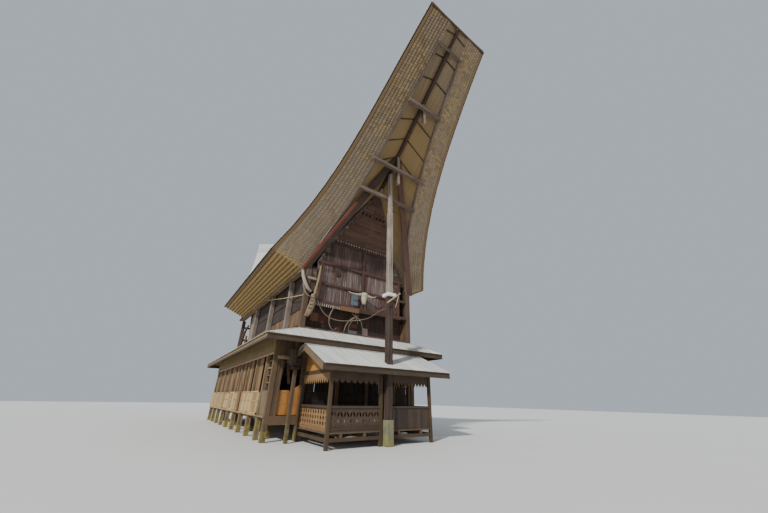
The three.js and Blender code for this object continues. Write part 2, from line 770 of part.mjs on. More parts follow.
function frontGallery() {
  const [far, near] = [GALLERY_FRONT_Y - galleryHalf, GALLERY_FRONT_Y + galleryHalf];
  const jamb = GATE_RIGHT + galleryHalf;
  const posts = [jamb, -FRONT_POST_X, FRONT_POST_X, -jamb];
  return joined([
    ...posts.map((x) => post(x, GALLERY_FRONT_Y, GALLERY_POST, 0, FRONT_TOP)),
    block(-galleryEnd, galleryEnd, far, near, LEDGE_Z, LEDGE_TOP),
    block(-galleryEnd, GATE_RIGHT + LAP, far, far + THRESHOLD, THRESHOLD_Z, LEDGE_Z + LAP),
    block(-galleryEnd, GATE_LEFT, far + PANEL_IN, far + panelFar, LEDGE_TOP - LAP, WAIST_TOP),
    block(GATE_LEFT - THRESHOLD, GATE_LEFT, far, near, LEDGE_TOP - LAP, FRONT_TOP),
    block(GATE_RIGHT + LAP, galleryEnd, far + PANEL_IN, far + panelFar, LEDGE_TOP - LAP, WAIST_TOP),
    block(-galleryEnd, galleryEnd, far + BAND_IN, far + bandFar, BAND_LOW, FRONT_TOP),
    ...HINGE_ZS.flatMap((z) => [...gatePin(GATE_LEFT, 1, z), ...gatePin(GATE_RIGHT, -1, z)]),
  ]);
}

for (const [name, shape] of [
  ["gallery_posts", sidePosts()],
  ["gallery_waist", sideWaist()],
  ["gallery_band", sideBand()],
]) {
  addPiece(`${name}_left`, mirroredCopy(shape, "x"), tanBoards);
  addPiece(`${name}_right`, shape, tanBoards);
}
addPiece("gallery_wall_rear", rearGallery(), tanBoards);
addPiece("gallery_wall_front", frontGallery(), tanBoards);

// Gallery floor on the ledgers, notched round the long posts.
function galleryFloor() {
  const front = GALLERY_FRONT_Y + galleryHalf + FIT;
  const rear = GALLERY_REAR_Y - galleryHalf - FIT;
  const boards = block(-galleryEnd, galleryEnd, front, rear, LEDGE_Z - LEDGER_T + FIT, LEDGE_Z);
  const holes = [-POST_X, POST_X].flatMap((x) => POST_YS.map((y) => post(x, y, POST + 2 * FIT, 0, FAR)));
  return cut(boards, holes);
}
addPiece("gallery_floor", galleryFloor(), tanBoards);

// Porch frame: five posts, the floor beams and the plates.
const porchPosts = [
  [PORCH_LEFT, PORCH_FRONT],
  [PORCH_RIGHT, PORCH_FRONT],
  [PORCH_LEFT, PORCH_BACK],
  [PORCH_RIGHT, PORCH_BACK],
  [PORCH_MID_X, PORCH_FRONT],
];
const porchPlateTop = PORCH_PLATE_Z + PORCH_PLATE;
const propClear = post(0, -PROP_Y, PROP + 2 * FIT, 0, FAR);
const plinthClear = post(0, -PROP_Y, PLINTH + 2 * FIT, 0, PLINTH_TOP + FIT);

// A ring of beams on the lines between the corner posts.
function porchRing(z0, z1) {
  const h = PORCH_TIMBER / 2;
  return [
    block(PORCH_LEFT, PORCH_RIGHT, PORCH_FRONT - h, PORCH_FRONT + h, z0, z1),
    block(PORCH_LEFT, PORCH_RIGHT, PORCH_BACK - h, PORCH_BACK + h, z0, z1),
    block(PORCH_LEFT - h, PORCH_LEFT + h, PORCH_FRONT, PORCH_BACK, z0, z1),
    block(PORCH_RIGHT - h, PORCH_RIGHT + h, PORCH_FRONT, PORCH_BACK, z0, z1),
  ];
}
const porchFrame = joined([
  ...porchPosts.map(([x, y]) => post(x, y, PORCH_POST, 0, porchPlateTop)),
  ...porchRing(PORCH_BEAM_Z, PORCH_BEAM_Z + PORCH_BEAM),
  ...porchRing(PORCH_PLATE_Z, porchPlateTop),
]);
addPiece("porch_frame", cut(porchFrame, [propClear, plinthClear]), redTimber);

// Porch floor: boards on joists that rest on the floor beams, notched round the posts.
function porchFloor() {
  const joistLow = PORCH_BEAM_Z + PORCH_BEAM + FIT;
  const boardLow = PORCH_FLOOR - PORCH_BOARD;
  const [front, back] = [PORCH_FRONT - PORCH_OVERHANG, PORCH_BACK + PORCH_OVERHANG];
  const [left, right] = [PORCH_LEFT - PORCH_OVERHANG, PORCH_RIGHT + PORCH_OVERHANG];
  const boards = block(left, right, front, back, boardLow, PORCH_FLOOR);
  const joists = PORCH_JOIST_XS.map((x) => {
    return block(x - PORCH_JOIST / 2, x + PORCH_JOIST / 2, front, back, joistLow, boardLow + LAP);
  });
  const holes = porchPosts.map(([x, y]) => post(x, y, PORCH_POST + 2 * FIT, 0, FAR));
  return cut(joined([boards, ...joists]), [...holes, propClear, plinthClear]);
}
addPiece("porch_floor", porchFloor(), tanBoards);

// Balustrades, a board panel on the floor under a rail, and valances under the plates.
const postEdge = PORCH_POST / 2 + FIT;
const railLow = RAIL_TOP - RAIL;
const panelHalf = PORCH_PANEL / 2;
for (const [place, x0, x1] of [
  ["left", PORCH_LEFT + postEdge, PORCH_MID_X - postEdge],
  ["right", PLINTH / 2 + 2 * FIT, PORCH_RIGHT - postEdge],
]) {
  const across = (half, z0, z1) => block(x0, x1, PORCH_FRONT - half, PORCH_FRONT + half, z0, z1);
  const boards = across(panelHalf, PORCH_FLOOR + FIT, railLow + LAP);
  const rail = across(RAIL / 2, railLow, RAIL_TOP);
  addPiece(`porch_balustrade_front_${place}`, joined([boards, rail]), tanBoards);
  addPiece(`porch_valance_front_${place}`, across(panelHalf, VALANCE_LOW, PORCH_PLATE_Z - FIT), tanBoards);
}
for (const [place, x] of [
  ["left", PORCH_LEFT],
  ["right", PORCH_RIGHT],
]) {
  const [y0, y1] = [PORCH_FRONT + postEdge, PORCH_BACK - postEdge];
  const along = (half, z0, z1) => block(x - half, x + half, y0, y1, z0, z1);
  const boards = along(panelHalf, PORCH_FLOOR + FIT, railLow + LAP);
  const rail = along(RAIL / 2, railLow, RAIL_TOP);
  addPiece(`porch_balustrade_${place}`, joined([boards, rail]), tanBoards);
  addPiece(`porch_valance_${place}`, along(panelHalf, VALANCE_LOW, PORCH_PLATE_Z - FIT), tanBoards);
}

// Top of the porch roof.
function porchRoofZ(y) {
  if (y < PORCH_RIDGE_Y) {
    const share = (y - PORCH_EAVE_Y) / (PORCH_RIDGE_Y - PORCH_EAVE_Y);
    return PORCH_EAVE_Z + share * (PORCH_RIDGE_Z - PORCH_EAVE_Z);
  }
  const share = (y - PORCH_RIDGE_Y) / (PORCH_REAR_EAVE_Y - PORCH_RIDGE_Y);
  return PORCH_RIDGE_Z + share * (PORCH_REAR_EAVE_Z - PORCH_RIDGE_Z);
}

// A strip that follows the porch roof between two depths under its top.
function underPorchRoof(y0, y1, upper, lower) {
  const line = [y0, PORCH_RIDGE_Y, y1];
  const bottom = line.map((y) => [y, porchRoofZ(y) - lower]);
  const top = line.map((y) => [y, porchRoofZ(y) - upper]).reverse();
  return [...bottom, ...top];
}

function porchRoof() {
  const outline = underPorchRoof(PORCH_EAVE_Y, PORCH_REAR_EAVE_Y, 0, PORCH_ROOF_T);
  const slab = sidePanel(outline, -PORCH_ROOF_X, PORCH_ROOF_X);
  const holes = [-POST_X, POST_X].map((x) => post(x, POST_YS[0], POST + ROOF_CLEAR, 0, FAR));
  return cut(slab, [...holes, post(0, -PROP_Y, PROP + ROOF_CLEAR, 0, FAR)]);
}
addPiece("porch_roof", porchRoof(), sheetMetal);

// Boarded gables that carry the porch roof on the side plates.
for (const [place, x] of [
  ["left", PORCH_LEFT],
  ["right", PORCH_RIGHT],
]) {
  const [y0, y1] = [PORCH_FRONT - PORCH_OVERHANG, PORCH_REAR_EAVE_Y - LAP];
  const depth = PORCH_ROOF_T + FIT;
  const outline = [
    [y0, porchPlateTop + FIT],
    [y1, porchPlateTop + FIT],
    [y1, porchRoofZ(y1) - depth],
    [PORCH_RIDGE_Y, PORCH_RIDGE_Z - depth],
    [y0, porchRoofZ(y0) - depth],
  ];
  addPiece(`porch_gable_${place}`, sidePanel(outline, x - panelHalf, x + panelHalf), tanBoards);
}

// Boards under the porch roof's front eave and its two sides.
function porchFascia() {
  const under = PORCH_ROOF_T + FIT;
  const rear = POST_YS[0] - POST / 2 - ROOF_CLEAR;
  const sideBoard = underPorchRoof(PORCH_EAVE_Y, rear, under, under + PORCH_SIDE_BOARD);
  const right = sidePanel(sideBoard, PORCH_ROOF_X - PORCH_EDGE_T, PORCH_ROOF_X);
  const top = PORCH_EAVE_Z - under;
  const low = top - PORCH_EAVE_BOARD;
  const eave = block(-PORCH_ROOF_X, PORCH_ROOF_X, PORCH_EAVE_Y, PORCH_EAVE_Y + PORCH_EDGE_T, low, top);
  return joined([right, mirroredCopy(right, "x"), eave]);
}
addPiece("porch_fascia", porchFascia(), greyTimber);

// Half-height double gate: a plain left leaf and a right leaf with a raked top, each hung on two pins.
const gateMiddle = (GATE_LEFT + GATE_RIGHT) / 2;
const gateFront = GALLERY_FRONT_Y - GATE_T / 2;

// A leaf with its straps and knuckles, side 1 for the left leaf and -1 for the right one.
function gateLeaf(jambX, side, jambTop, meetTop) {
  const hung = jambX + side * GATE_PLAY;
  const meet = gateMiddle - (side * GATE_MEET) / 2;
  const corners = [
    [hung, GATE_LOW],
    [meet, GATE_LOW],
    [meet, meetTop],
    [hung, jambTop],
  ];
  const boards = panel(side > 0 ? corners : corners.reverse(), gateFront, gateFront + GATE_T);
  const x = jambX + side * PIN_FROM_JAMB;
  const y = gateFront + GATE_T + KNUCKLE_R - KNUCKLE_SEAT;
  const ends = [x, x + side * STRAP].sort((a, b) => a - b);
  const hinges = HINGE_ZS.flatMap((z) => [
    block(...ends, gateFront + GATE_T - KNUCKLE_SEAT, gateFront + GATE_T + STRAP_T, z, z + KNUCKLE_H),
    upright(x, y, KNUCKLE_R, z, z + KNUCKLE_H),
  ]);
  const bores = HINGE_ZS.map((z) => upright(x, y, PIN_R + PIN_GAP, z - LAP, z + KNUCKLE_H + LAP));
  return cut(joined([boards, ...hinges]), bores);
}
addPiece("gate_leaf_left", gateLeaf(GATE_LEFT, 1, GATE_TOP, GATE_TOP), tanBoards);
addPiece("gate_leaf_right", gateLeaf(GATE_RIGHT, -1, GATE_PEAK, GATE_MEET_TOP), tanBoards);

export default house;
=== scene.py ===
"""A timber house with a boat-shaped bamboo roof, dressed round the fixed frame of its own solid parts."""
import math
import random

import bmesh
import bpy
import numpy as np
from mathutils import Matrix, Vector
from mathutils.bvhtree import BVHTree


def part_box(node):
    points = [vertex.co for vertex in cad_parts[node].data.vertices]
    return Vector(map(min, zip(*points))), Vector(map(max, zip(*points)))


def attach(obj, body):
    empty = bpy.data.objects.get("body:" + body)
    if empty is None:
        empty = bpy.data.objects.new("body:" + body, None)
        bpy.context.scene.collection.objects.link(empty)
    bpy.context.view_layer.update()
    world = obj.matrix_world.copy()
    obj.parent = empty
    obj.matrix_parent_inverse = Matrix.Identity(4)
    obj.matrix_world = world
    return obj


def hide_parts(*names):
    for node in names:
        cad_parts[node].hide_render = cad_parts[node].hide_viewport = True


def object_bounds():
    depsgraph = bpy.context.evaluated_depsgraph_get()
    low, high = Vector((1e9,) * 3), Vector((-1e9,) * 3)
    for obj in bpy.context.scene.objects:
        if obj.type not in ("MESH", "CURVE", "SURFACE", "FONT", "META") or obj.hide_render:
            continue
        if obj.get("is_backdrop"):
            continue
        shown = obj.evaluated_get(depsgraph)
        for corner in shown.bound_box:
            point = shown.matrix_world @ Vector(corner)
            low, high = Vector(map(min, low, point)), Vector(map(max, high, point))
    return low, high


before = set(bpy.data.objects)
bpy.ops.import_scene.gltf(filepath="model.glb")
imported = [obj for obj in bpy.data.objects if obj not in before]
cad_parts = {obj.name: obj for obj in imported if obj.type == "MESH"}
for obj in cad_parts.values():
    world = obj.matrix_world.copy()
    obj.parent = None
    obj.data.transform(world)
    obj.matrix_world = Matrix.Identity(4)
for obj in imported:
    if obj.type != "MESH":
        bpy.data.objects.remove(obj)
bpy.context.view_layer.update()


# Camera
# It stands low in front of the house's left corner and looks up along the near prow, as the photo does.
heading, tilt, lean = math.radians(35.010), math.radians(26.004), math.radians(1.102)
stand = Matrix.Translation((-5.861, -15.105, 1.200))
ahead = Vector((math.sin(heading) * math.cos(tilt), math.cos(heading) * math.cos(tilt), math.sin(tilt)))
level = Vector((math.cos(heading), -math.sin(heading), 0))
upward = level.cross(ahead)
right = math.cos(lean) * level + math.sin(lean) * upward
top = math.cos(lean) * upward - math.sin(lean) * level
lens = bpy.data.cameras.new("camera")
lens.sensor_width = 36.0
lens.lens = 13.761
lens.clip_end = 200
camera = bpy.data.objects.new("camera", lens)
camera.matrix_world = stand @ Matrix((right, top, -ahead)).transposed().to_4x4()
bpy.context.scene.collection.objects.link(camera)
bpy.context.scene.camera = camera


# Rope of the front
# A twisted fibre rope, 32 mm thick, hangs in one deep swag from the low ledge of the gable to the prop
# post. Its ends meet both, and it has gone grey brown.
ROPE = 0.032
ROPE_TWIST = 0.11
ROPE_ROUND = 12
STRANDS = 3
ROPE_POINTS = [
    (-1.97, -5.3203, 4.375), (-1.97, -5.4, 4.375), (-1.938, -5.448, 4.31), (-1.893, -5.478, 4.21),
    (-1.845, -5.5, 4.1), (-1.78, -5.542, 3.985), (-1.7, -5.61, 3.87), (-1.61, -5.694, 3.775),
    (-1.5, -5.797, 3.7), (-1.38, -5.908, 3.648), (-1.26, -6.02, 3.622), (-1.13, -6.141, 3.612),
    (-0.99, -6.272, 3.614), (-0.85, -6.402, 3.626), (-0.72, -6.523, 3.645), (-0.61, -6.626, 3.676),
    (-0.51, -6.718, 3.728), (-0.425, -6.8, 3.797), (-0.345, -6.89, 3.875), (-0.27, -6.99, 3.945),
    (-0.18, -7.06, 3.99), (-0.1003, -7.06, 3.99),
]


def linear(hex_colour):
    """An sRGB hex colour as linear red, green, blue and alpha."""
    channels = [int(hex_colour[i : i + 2], 16) / 255 for i in (1, 3, 5)]
    return [c / 12.92 if c <= 0.04045 else ((c + 0.055) / 1.055) ** 2.4 for c in channels] + [1.0]


def add(tree, kind, sockets=(), out=0, **settings):
    """Adds a node and gives its output; a socket gets a value, a hex colour, or an output to link."""
    made = tree.nodes.new("ShaderNode" + kind)
    for name, value in settings.items():
        setattr(made, name, value)
    for socket, value in dict(sockets).items():
        if isinstance(value, bpy.types.NodeSocket):
            tree.links.new(value, made.inputs[socket])
        else:
            made.inputs[socket].default_value = linear(value) if isinstance(value, str) else value
    return made.outputs[out]


def new_finish(name, roughness=0.5):
    """An empty material by name, with its node tree and its shader."""
    made = bpy.data.materials.new(name)
    made.use_nodes = True
    shader = made.node_tree.nodes["Principled BSDF"]
    shader.inputs["Roughness"].default_value = roughness
    return made, made.node_tree, shader


def laid_sheet(columns, rows, place, paper=None):
    """A sheet of columns by rows quads; place gives a corner's spot, and paper its place on the pattern."""
    bm = bmesh.new()
    bmesh.ops.create_grid(bm, x_segments=columns, y_segments=rows, size=1.0)
    flat = bm.loops.layers.uv.new("grain")
    for face in bm.faces:
        for loop in face.loops:
            i = round((loop.vert.co.x + 1) / 2 * columns)
            j = round((loop.vert.co.y + 1) / 2 * rows)
            loop[flat].uv = paper(i, j) if paper else (i, j)
    for v in bm.verts:
        v.co = place(round((v.co.x + 1) / 2 * columns), round((v.co.y + 1) / 2 * rows))
    return bm


def set_piece(bm, name, finishes, body="house", stands_for=()):
    """Makes a finished piece of a mesh, in its place, riding its body."""
    mesh = bpy.data.meshes.new(name)
    bm.to_mesh(mesh)
    bm.free()
    for finish in finishes if isinstance(finishes, list) else [finishes]:
        mesh.materials.append(finish)
    piece = bpy.data.objects.new(name, mesh)
    bpy.context.scene.collection.objects.link(piece)
    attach(piece, body)
    if stands_for:
        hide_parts(*stands_for)
    return piece


def smooth_line(points, steps):
    """Points at even steps of each span on a smooth curve through the given points."""
    spots = [Vector(p) for p in points]
    spots = [2 * spots[0] - spots[1]] + spots + [2 * spots[-1] - spots[-2]]
    line = []
    for a, b, c, d in zip(spots, spots[1:], spots[2:], spots[3:]):
        once, twice, thrice = c - a, 2 * a - 5 * b + 4 * c - d, 3 * b - a - 3 * c + d
        for k in range(steps):
            t = k / steps
            line.append(0.5 * (2 * b + once * t + twice * t**2 + thrice * t**3))
    return line + [spots[-2]]


def fibre_rope():
    """Twisted plant fibre: dry, matt and grey brown, dark between the strands."""
    made, tree, shader = new_finish("rope, twisted fibre", 0.95)
    paper = add(tree, "UVMap", uv_map="grain")
    strand_map = add(tree, "Mapping", {"Vector": paper, "Scale": (3, 60, 1)})
    strand = add(tree, "TexNoise", {"Vector": strand_map, "Scale": 1.0, "Detail": 4.0})
    place = add(tree, "TexCoord", out="Object")
    broad = add(tree, "Mapping", {"Vector": place, "Scale": (2.2, 2.2, 2.2)})
    cloud = add(tree, "TexNoise", {"Vector": broad, "Scale": 1.0, "Detail": 3.0})
    tone = add(tree, "MapRange", {"Value": strand, "From Min": 0.35, "From Max": 0.65})
    fibre = add(tree, "Mix", {0: tone, 6: "#4a3d30", 7: "#756753"}, out=2, data_type="RGBA")
    aged = add(tree, "MapRange", {"Value": cloud, "From Min": 0.45, "From Max": 0.65, "To Max": 0.6})
    shade = add(tree, "Mix", {0: aged, 6: fibre, 7: "#645b50"}, out=2, data_type="RGBA")
    bump = add(tree, "Bump", {"Height": strand, "Strength": 0.6, "Distance": 0.003})
    tree.links.new(shade, shader.inputs["Base Color"])
    tree.links.new(bump, shader.inputs["Normal"])
    return made


rope_line = smooth_line(ROPE_POINTS, 8)
rope_length = sum((b - a).length for a, b in zip(rope_line, rope_line[1:]))


def rope_spot(i, j):
    """A point of the rope's skin, i along it and j round it, where it is dented between its strands."""
    run = (rope_line[min(i + 1, len(rope_line) - 1)] - rope_line[max(i - 1, 0)]).normalized()
    side = run.cross(Vector((0, 0, 1))).normalized()
    angle = 2 * math.pi * j / ROPE_ROUND
    twist = 2 * math.pi * i / (len(rope_line) - 1) * rope_length / ROPE_TWIST / STRANDS
    radius = ROPE / 2 * (0.84 + 0.16 * abs(math.cos(STRANDS / 2 * (angle - twist))))
    return rope_line[i] + radius * (math.cos(angle) * side + math.sin(angle) * side.cross(run))


rope = laid_sheet(len(rope_line) - 1, ROPE_ROUND, rope_spot, lambda i, j: (i * 0.017, j * 0.008))
bmesh.ops.remove_doubles(rope, verts=rope.verts, dist=1e-5)
bmesh.ops.holes_fill(rope, edges=rope.edges, sides=ROPE_ROUND)
bmesh.ops.recalc_face_normals(rope, faces=rope.faces)
for face in rope.faces:
    face.smooth = True
hung_rope = set_piece(rope, "front_rope_twisted", fibre_rope(), stands_for=["front_rope"])


# Stacked bamboo of the main roof
# Split bamboo lies crosswise in courses, each drawn back a little behind the one above, so the cut ends
# show as steps all round the eaves and up both rakes. It has dried to tan and grey, golden along the
# eaves, and it is tied to the rafters.
CULM = 0.1
COURSES = 8
COURSE_PROUD = 0.055
CULM_DENT = 0.024
COURSE_PROFILE = [(0.0, 0.0), (0.05, 0.75), (0.14, 1.0), (0.55, 0.5), (0.96, 0.1)]
EAVE_END = 5.0
# The soffit inside the courses: its half width at the middle of the house, and how fast it narrows.
SOFFIT_HALF, SOFFIT_NARROWS = 2.87, 0.23


def roof_edge(node):
    """Rows of y, outer x and z, inner x and z along a roof half's band, from the front tip to the rear."""
    corners = {}
    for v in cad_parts[node].data.vertices:
        if abs(v.co.x) > 0.01:
            corners.setdefault(round(v.co.y, 3), set()).add((round(abs(v.co.x), 4), round(v.co.z, 4)))
    return np.array([(y, *max(corners[y]), *min(corners[y])) for y in sorted(corners)])


def walked(line, step):
    """The line's rows again, at even steps of length along its first three columns."""
    length = np.concatenate([[0], np.cumsum(np.linalg.norm(np.diff(line[:, :3], axis=0), axis=1))])
    count = round(length[-1] / step)
    at = np.linspace(0, length[-1], count + 1)
    return np.stack([np.interp(at, length, column) for column in line.T], axis=1)


def facing(bm, up):
    """Turns a sheet over where it doesn't face up, for 1, or down, for -1."""
    bm.normal_update()
    if up * sum(face.normal.z for face in bm.faces) < 0:
        bmesh.ops.reverse_faces(bm, faces=bm.faces)


def split_bamboo_ends():
    """Cut ends of split bamboo: dry and matt, each culm its own tan or grey, with painted shade where two lie
    together.
    """
    made, tree, shader = new_finish("split bamboo, weathered ends", 0.9)
    paper = add(tree, "UVMap", uv_map="grain")
    across = add(tree, "SeparateXYZ", {"Vector": paper}).node.outputs
    culm = add(tree, "Math", {0: across["X"]}, operation="FLOOR")
    course = add(tree, "Math", {0: across["Y"]}, operation="FLOOR")
    which = add(tree, "CombineXYZ", {"X": culm, "Y": course})
    own = add(tree, "TexWhiteNoise", {"Vector": which}, noise_dimensions="2D")
    place = add(tree, "TexCoord", out="Object")
    spot = add(tree, "Mapping", {"Vector": place, "Scale": (1, 1, 1)})
    cloud = add(tree, "TexNoise", {"Vector": spot, "Scale": 1.3, "Detail": 4.0})
    patch = add(tree, "TexNoise", {"Vector": spot, "Scale": 9.0, "Detail": 3.0})
    tan = add(tree, "Mix", {0: own, 6: "#7f6b50", 7: "#a28c68"}, out=2, data_type="RGBA")
    pale = add(tree, "MapRange", {"Value": cloud, "From Min": 0.42, "From Max": 0.62, "To Max": 0.65})
    greyed = add(tree, "Mix", {0: pale, 6: tan, 7: "#8b7d6b"}, out=2, data_type="RGBA")
    along = add(tree, "SeparateXYZ", {"Vector": spot}).node.outputs
    far = add(tree, "Math", {0: along["Y"]}, operation="ABSOLUTE")
    # The rakes are dustier towards the eaves, and the eaves between the corner posts stay golden.
    foot = add(tree, "MapRange", {"Value": far, "From Min": 8.5, "From Max": EAVE_END, "To Max": 0.55})
    dusty = add(tree, "Mix", {0: foot, 6: greyed, 7: "#978b7b"}, out=2, data_type="RGBA")
    eave = add(tree, "MapRange", {"Value": far, "From Min": EAVE_END, "From Max": 4.8, "To Max": 0.85})
    gold = add(tree, "Mix", {0: eave, 6: dusty, 7: "#b39458"}, out=2, data_type="RGBA")
    stain = add(tree, "MapRange", {"Value": patch, "From Min": 0.55, "From Max": 0.72, "To Max": 0.35})
    rusty = add(tree, "Mix", {0: stain, 6: gold, 7: "#7c5f3e"}, out=2, data_type="RGBA")
    inner = add(tree, "Math", {0: across["Y"], 1: 1.0}, operation="GREATER_THAN")
    edged = add(tree, "Mix", {0: inner, 6: "#7f6748", 7: rusty}, out=2, data_type="RGBA")
    # Dark lines of painted shade lie between the courses and between the culms, and along the eaves a wider
    # painted shadow too.
    lap = add(tree, "Math", {0: across["Y"]}, operation="FRACT")
    gap = add(tree, "MapRange", {"Value": lap, "From Max": 0.2, "To Min": 0.9, "To Max": 0.0})
    seam = add(tree, "Math", {0: across["X"], 1: 0.5}, operation="PINGPONG")
    joint = add(tree, "MapRange", {"Value": seam, "From Max": 0.16, "To Min": 0.6, "To Max": 0.0})
    tick = add(tree, "Math", {0: joint, 1: inner}, operation="MULTIPLY")
    groove = add(
        tree, "MapRange", {"Value": lap, "From Min": 0.1, "From Max": 0.42, "To Min": 1.0, "To Max": 0.0}
    )
    shadow = add(tree, "Math", {0: groove, 1: eave}, operation="MULTIPLY")
    seams = add(tree, "Math", {0: gap, 1: tick}, operation="MAXIMUM")
    dark = add(tree, "Math", {0: seams, 1: shadow}, operation="MAXIMUM")
    shade = add(tree, "Mix", {0: dark, 6: edged, 7: "#271a12"}, out=2, data_type="RGBA")
    bump = add(tree, "Bump", {"Height": patch, "Strength": 0.4, "Distance": 0.01})
    tree.links.new(shade, shader.inputs["Base Color"])
    tree.links.new(bump, shader.inputs["Normal"])
    return made


def bamboo_mat():
    """Underside of the bamboo: thin splits laid side by side, smoother, olive tan, golden by the house."""
    made, tree, shader = new_finish("bamboo splits, underside", 0.8)
    place = add(tree, "TexCoord", out="Object")
    spot = add(tree, "Mapping", {"Vector": place, "Scale": (1 / 0.035, 0.35, 0)})
    splits = add(tree, "TexNoise", {"Vector": spot, "Scale": 1.0, "Detail": 3.0, "Roughness": 0.7})
    broad = add(tree, "Mapping", {"Vector": place, "Scale": (0.8, 0.8, 0.8)})
    cloud = add(tree, "TexNoise", {"Vector": broad, "Scale": 1.0, "Detail": 5.0})
    tone = add(tree, "MapRange", {"Value": splits, "From Min": 0.3, "From Max": 0.7})
    strips = add(tree, "Mix", {0: tone, 6: "#574531", 7: "#948061"}, out=2, data_type="RGBA")
    worn = add(tree, "MapRange", {"Value": cloud, "From Min": 0.4, "From Max": 0.65, "To Max": 0.6})
    aged = add(tree, "Mix", {0: worn, 6: strips, 7: "#7a6955"}, out=2, data_type="RGBA")
    along = add(tree, "SeparateXYZ", {"Vector": place}).node.outputs
    far = add(tree, "Math", {0: along["Y"]}, operation="ABSOLUTE")
    wide = add(tree, "Math", {0: along["X"]}, operation="ABSOLUTE")
    off_centre = add(tree, "Math", {0: far, 1: SOFFIT_NARROWS, 2: wide}, operation="MULTIPLY_ADD")
    soffit = add(tree, "Math", {0: off_centre, 1: SOFFIT_HALF}, operation="LESS_THAN")
    inward = add(tree, "MapRange", {"Value": far, "From Min": 10.2, "From Max": 8.6, "To Max": 0.6})
    golden = add(tree, "Math", {0: inward, 1: soffit}, operation="MULTIPLY")
    shade = add(tree, "Mix", {0: golden, 6: aged, 7: "#8a7040"}, out=2, data_type="RGBA")
    bump = add(tree, "Bump", {"Height": splits, "Strength": 0.6, "Distance": 0.01})
    tree.links.new(shade, shader.inputs["Base Color"])
    tree.links.new(bump, shader.inputs["Normal"])
    return made


bamboo_ends = split_bamboo_ends()
bamboo_underside = bamboo_mat()

for side, sign in (("left", -1), ("right", 1)):
    line = walked(roof_edge(f"roof_bamboo_{side}"), CULM / 2)

    def band_spot(i, j):
        """A point of the stepped courses, i culms along the verge and j down its width."""
        course, step = divmod(j, len(COURSE_PROFILE))
        share, proud = COURSE_PROFILE[step]
        y, outer_x, outer_z, inner_x, inner_z = line[i]
        across = (course + share) / COURSES
        spread = Vector((inner_x - outer_x, 0, inner_z - outer_z))
        out = Vector((-spread.z, 0, spread.x)).normalized()
        if out.z > 0:
            out.negate()
        height = proud * COURSE_PROUD - (CULM_DENT if i % 2 and course else 0) * proud
        spot = Vector((outer_x, 0, outer_z)) + spread * min(across, 1.0) + out * height
        return Vector((sign * spot.x, y, spot.z))

    def band_paper(i, j):
        """Culms and courses counted on the pattern, each course shifted against the last."""
        course, step = divmod(j, len(COURSE_PROFILE))
        return (i + 1) / 2 + 0.37 * course, course + COURSE_PROFILE[step][0] * 0.999

    band = laid_sheet(len(line) - 1, COURSES * len(COURSE_PROFILE), band_spot, band_paper)
    facing(band, -1)
    set_piece(band, f"roof_bamboo_ends_{side}", bamboo_ends)
    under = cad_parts[f"roof_bamboo_{side}"].data
    under.materials.clear()
    under.materials.append(bamboo_underside)


# Metal sheets of the main roof
# Thin zinc-coated sheets with 76 mm corrugations lie on the bamboo in three lapped rows down each slope,
# with a folded cap along the ridge. They are dull and pale, each sheet of its own grey, and streaked with
# brown dirt. Along the verges a dark strip of painted shade lies under their cut edges.
PITCH = 0.076
WAVE = 0.018
SHEET_ROWS = 3
SHEET_WIDTH = 0.76
SHEET_BAYS = 5
SHEET_END = 11.53
LAP = 0.02
LAP_LIFT = 0.003
RIDGE_GAP = 0.012
CAP_REACH = 0.18
HIGHEST = 14.407
ABOVE = 20
LIP_REACH = (0.02, 0.055)
LIP_DROP = 0.012


def zinc_sheet(name, along_axis):
    """Old galvanised sheet: pale dull grey with a soft spangle, dirt in streaks down the slope."""
    made, tree, shader = new_finish(name)
    place = add(tree, "TexCoord", out="Object")
    stretch = {"X": (0.6, 7, 0.6), "Y": (7, 0.6, 0.6)}[along_axis]
    streak_map = add(tree, "Mapping", {"Vector": place, "Scale": stretch})
    streak = add(tree, "TexNoise", {"Vector": streak_map, "Scale": 1.0, "Detail": 6.0, "Roughness": 0.65})
    fine_map = add(tree, "Mapping", {"Vector": place, "Scale": (30, 30, 30)})
    spangle = add(tree, "TexVoronoi", {"Vector": fine_map, "Scale": 1.0})
    dirt = add(tree, "MapRange", {"Value": streak, "From Min": 0.48, "From Max": 0.75, "To Max": 0.6})
    tone = add(tree, "MapRange", {"Value": spangle, "From Max": 0.8, "To Max": 0.3})
    bright = add(tree, "Mix", {0: tone, 6: "#e7e6df", 7: "#c4c8c5"}, out=2, data_type="RGBA")
    spot = add(tree, "SeparateXYZ", {"Vector": place}).node.outputs
    across = spot["Y" if along_axis == "X" else "X"]
    row = add(tree, "Math", {0: across, 1: SHEET_WIDTH}, operation="DIVIDE")
    sheet = add(tree, "Math", {0: row}, operation="FLOOR")
    own = add(tree, "TexWhiteNoise", {"W": sheet}, noise_dimensions="1D")
    grade = add(tree, "MapRange", {"Value": own, "From Min": 0.3, "To Max": 0.6})
    graded = add(tree, "Mix", {0: grade, 6: bright, 7: "#b3b4ae"}, out=2, data_type="RGBA")
    soiled = add(tree, "Mix", {0: dirt, 6: graded, 7: "#9c8f79"}, out=2, data_type="RGBA")
    matt = add(tree, "MapRange", {"Value": streak, "To Min": 0.38, "To Max": 0.7})
    tree.links.new(soiled, shader.inputs["Base Color"])
    tree.links.new(matt, shader.inputs["Roughness"])
    shader.inputs["Metallic"].default_value = 0.35
    return made


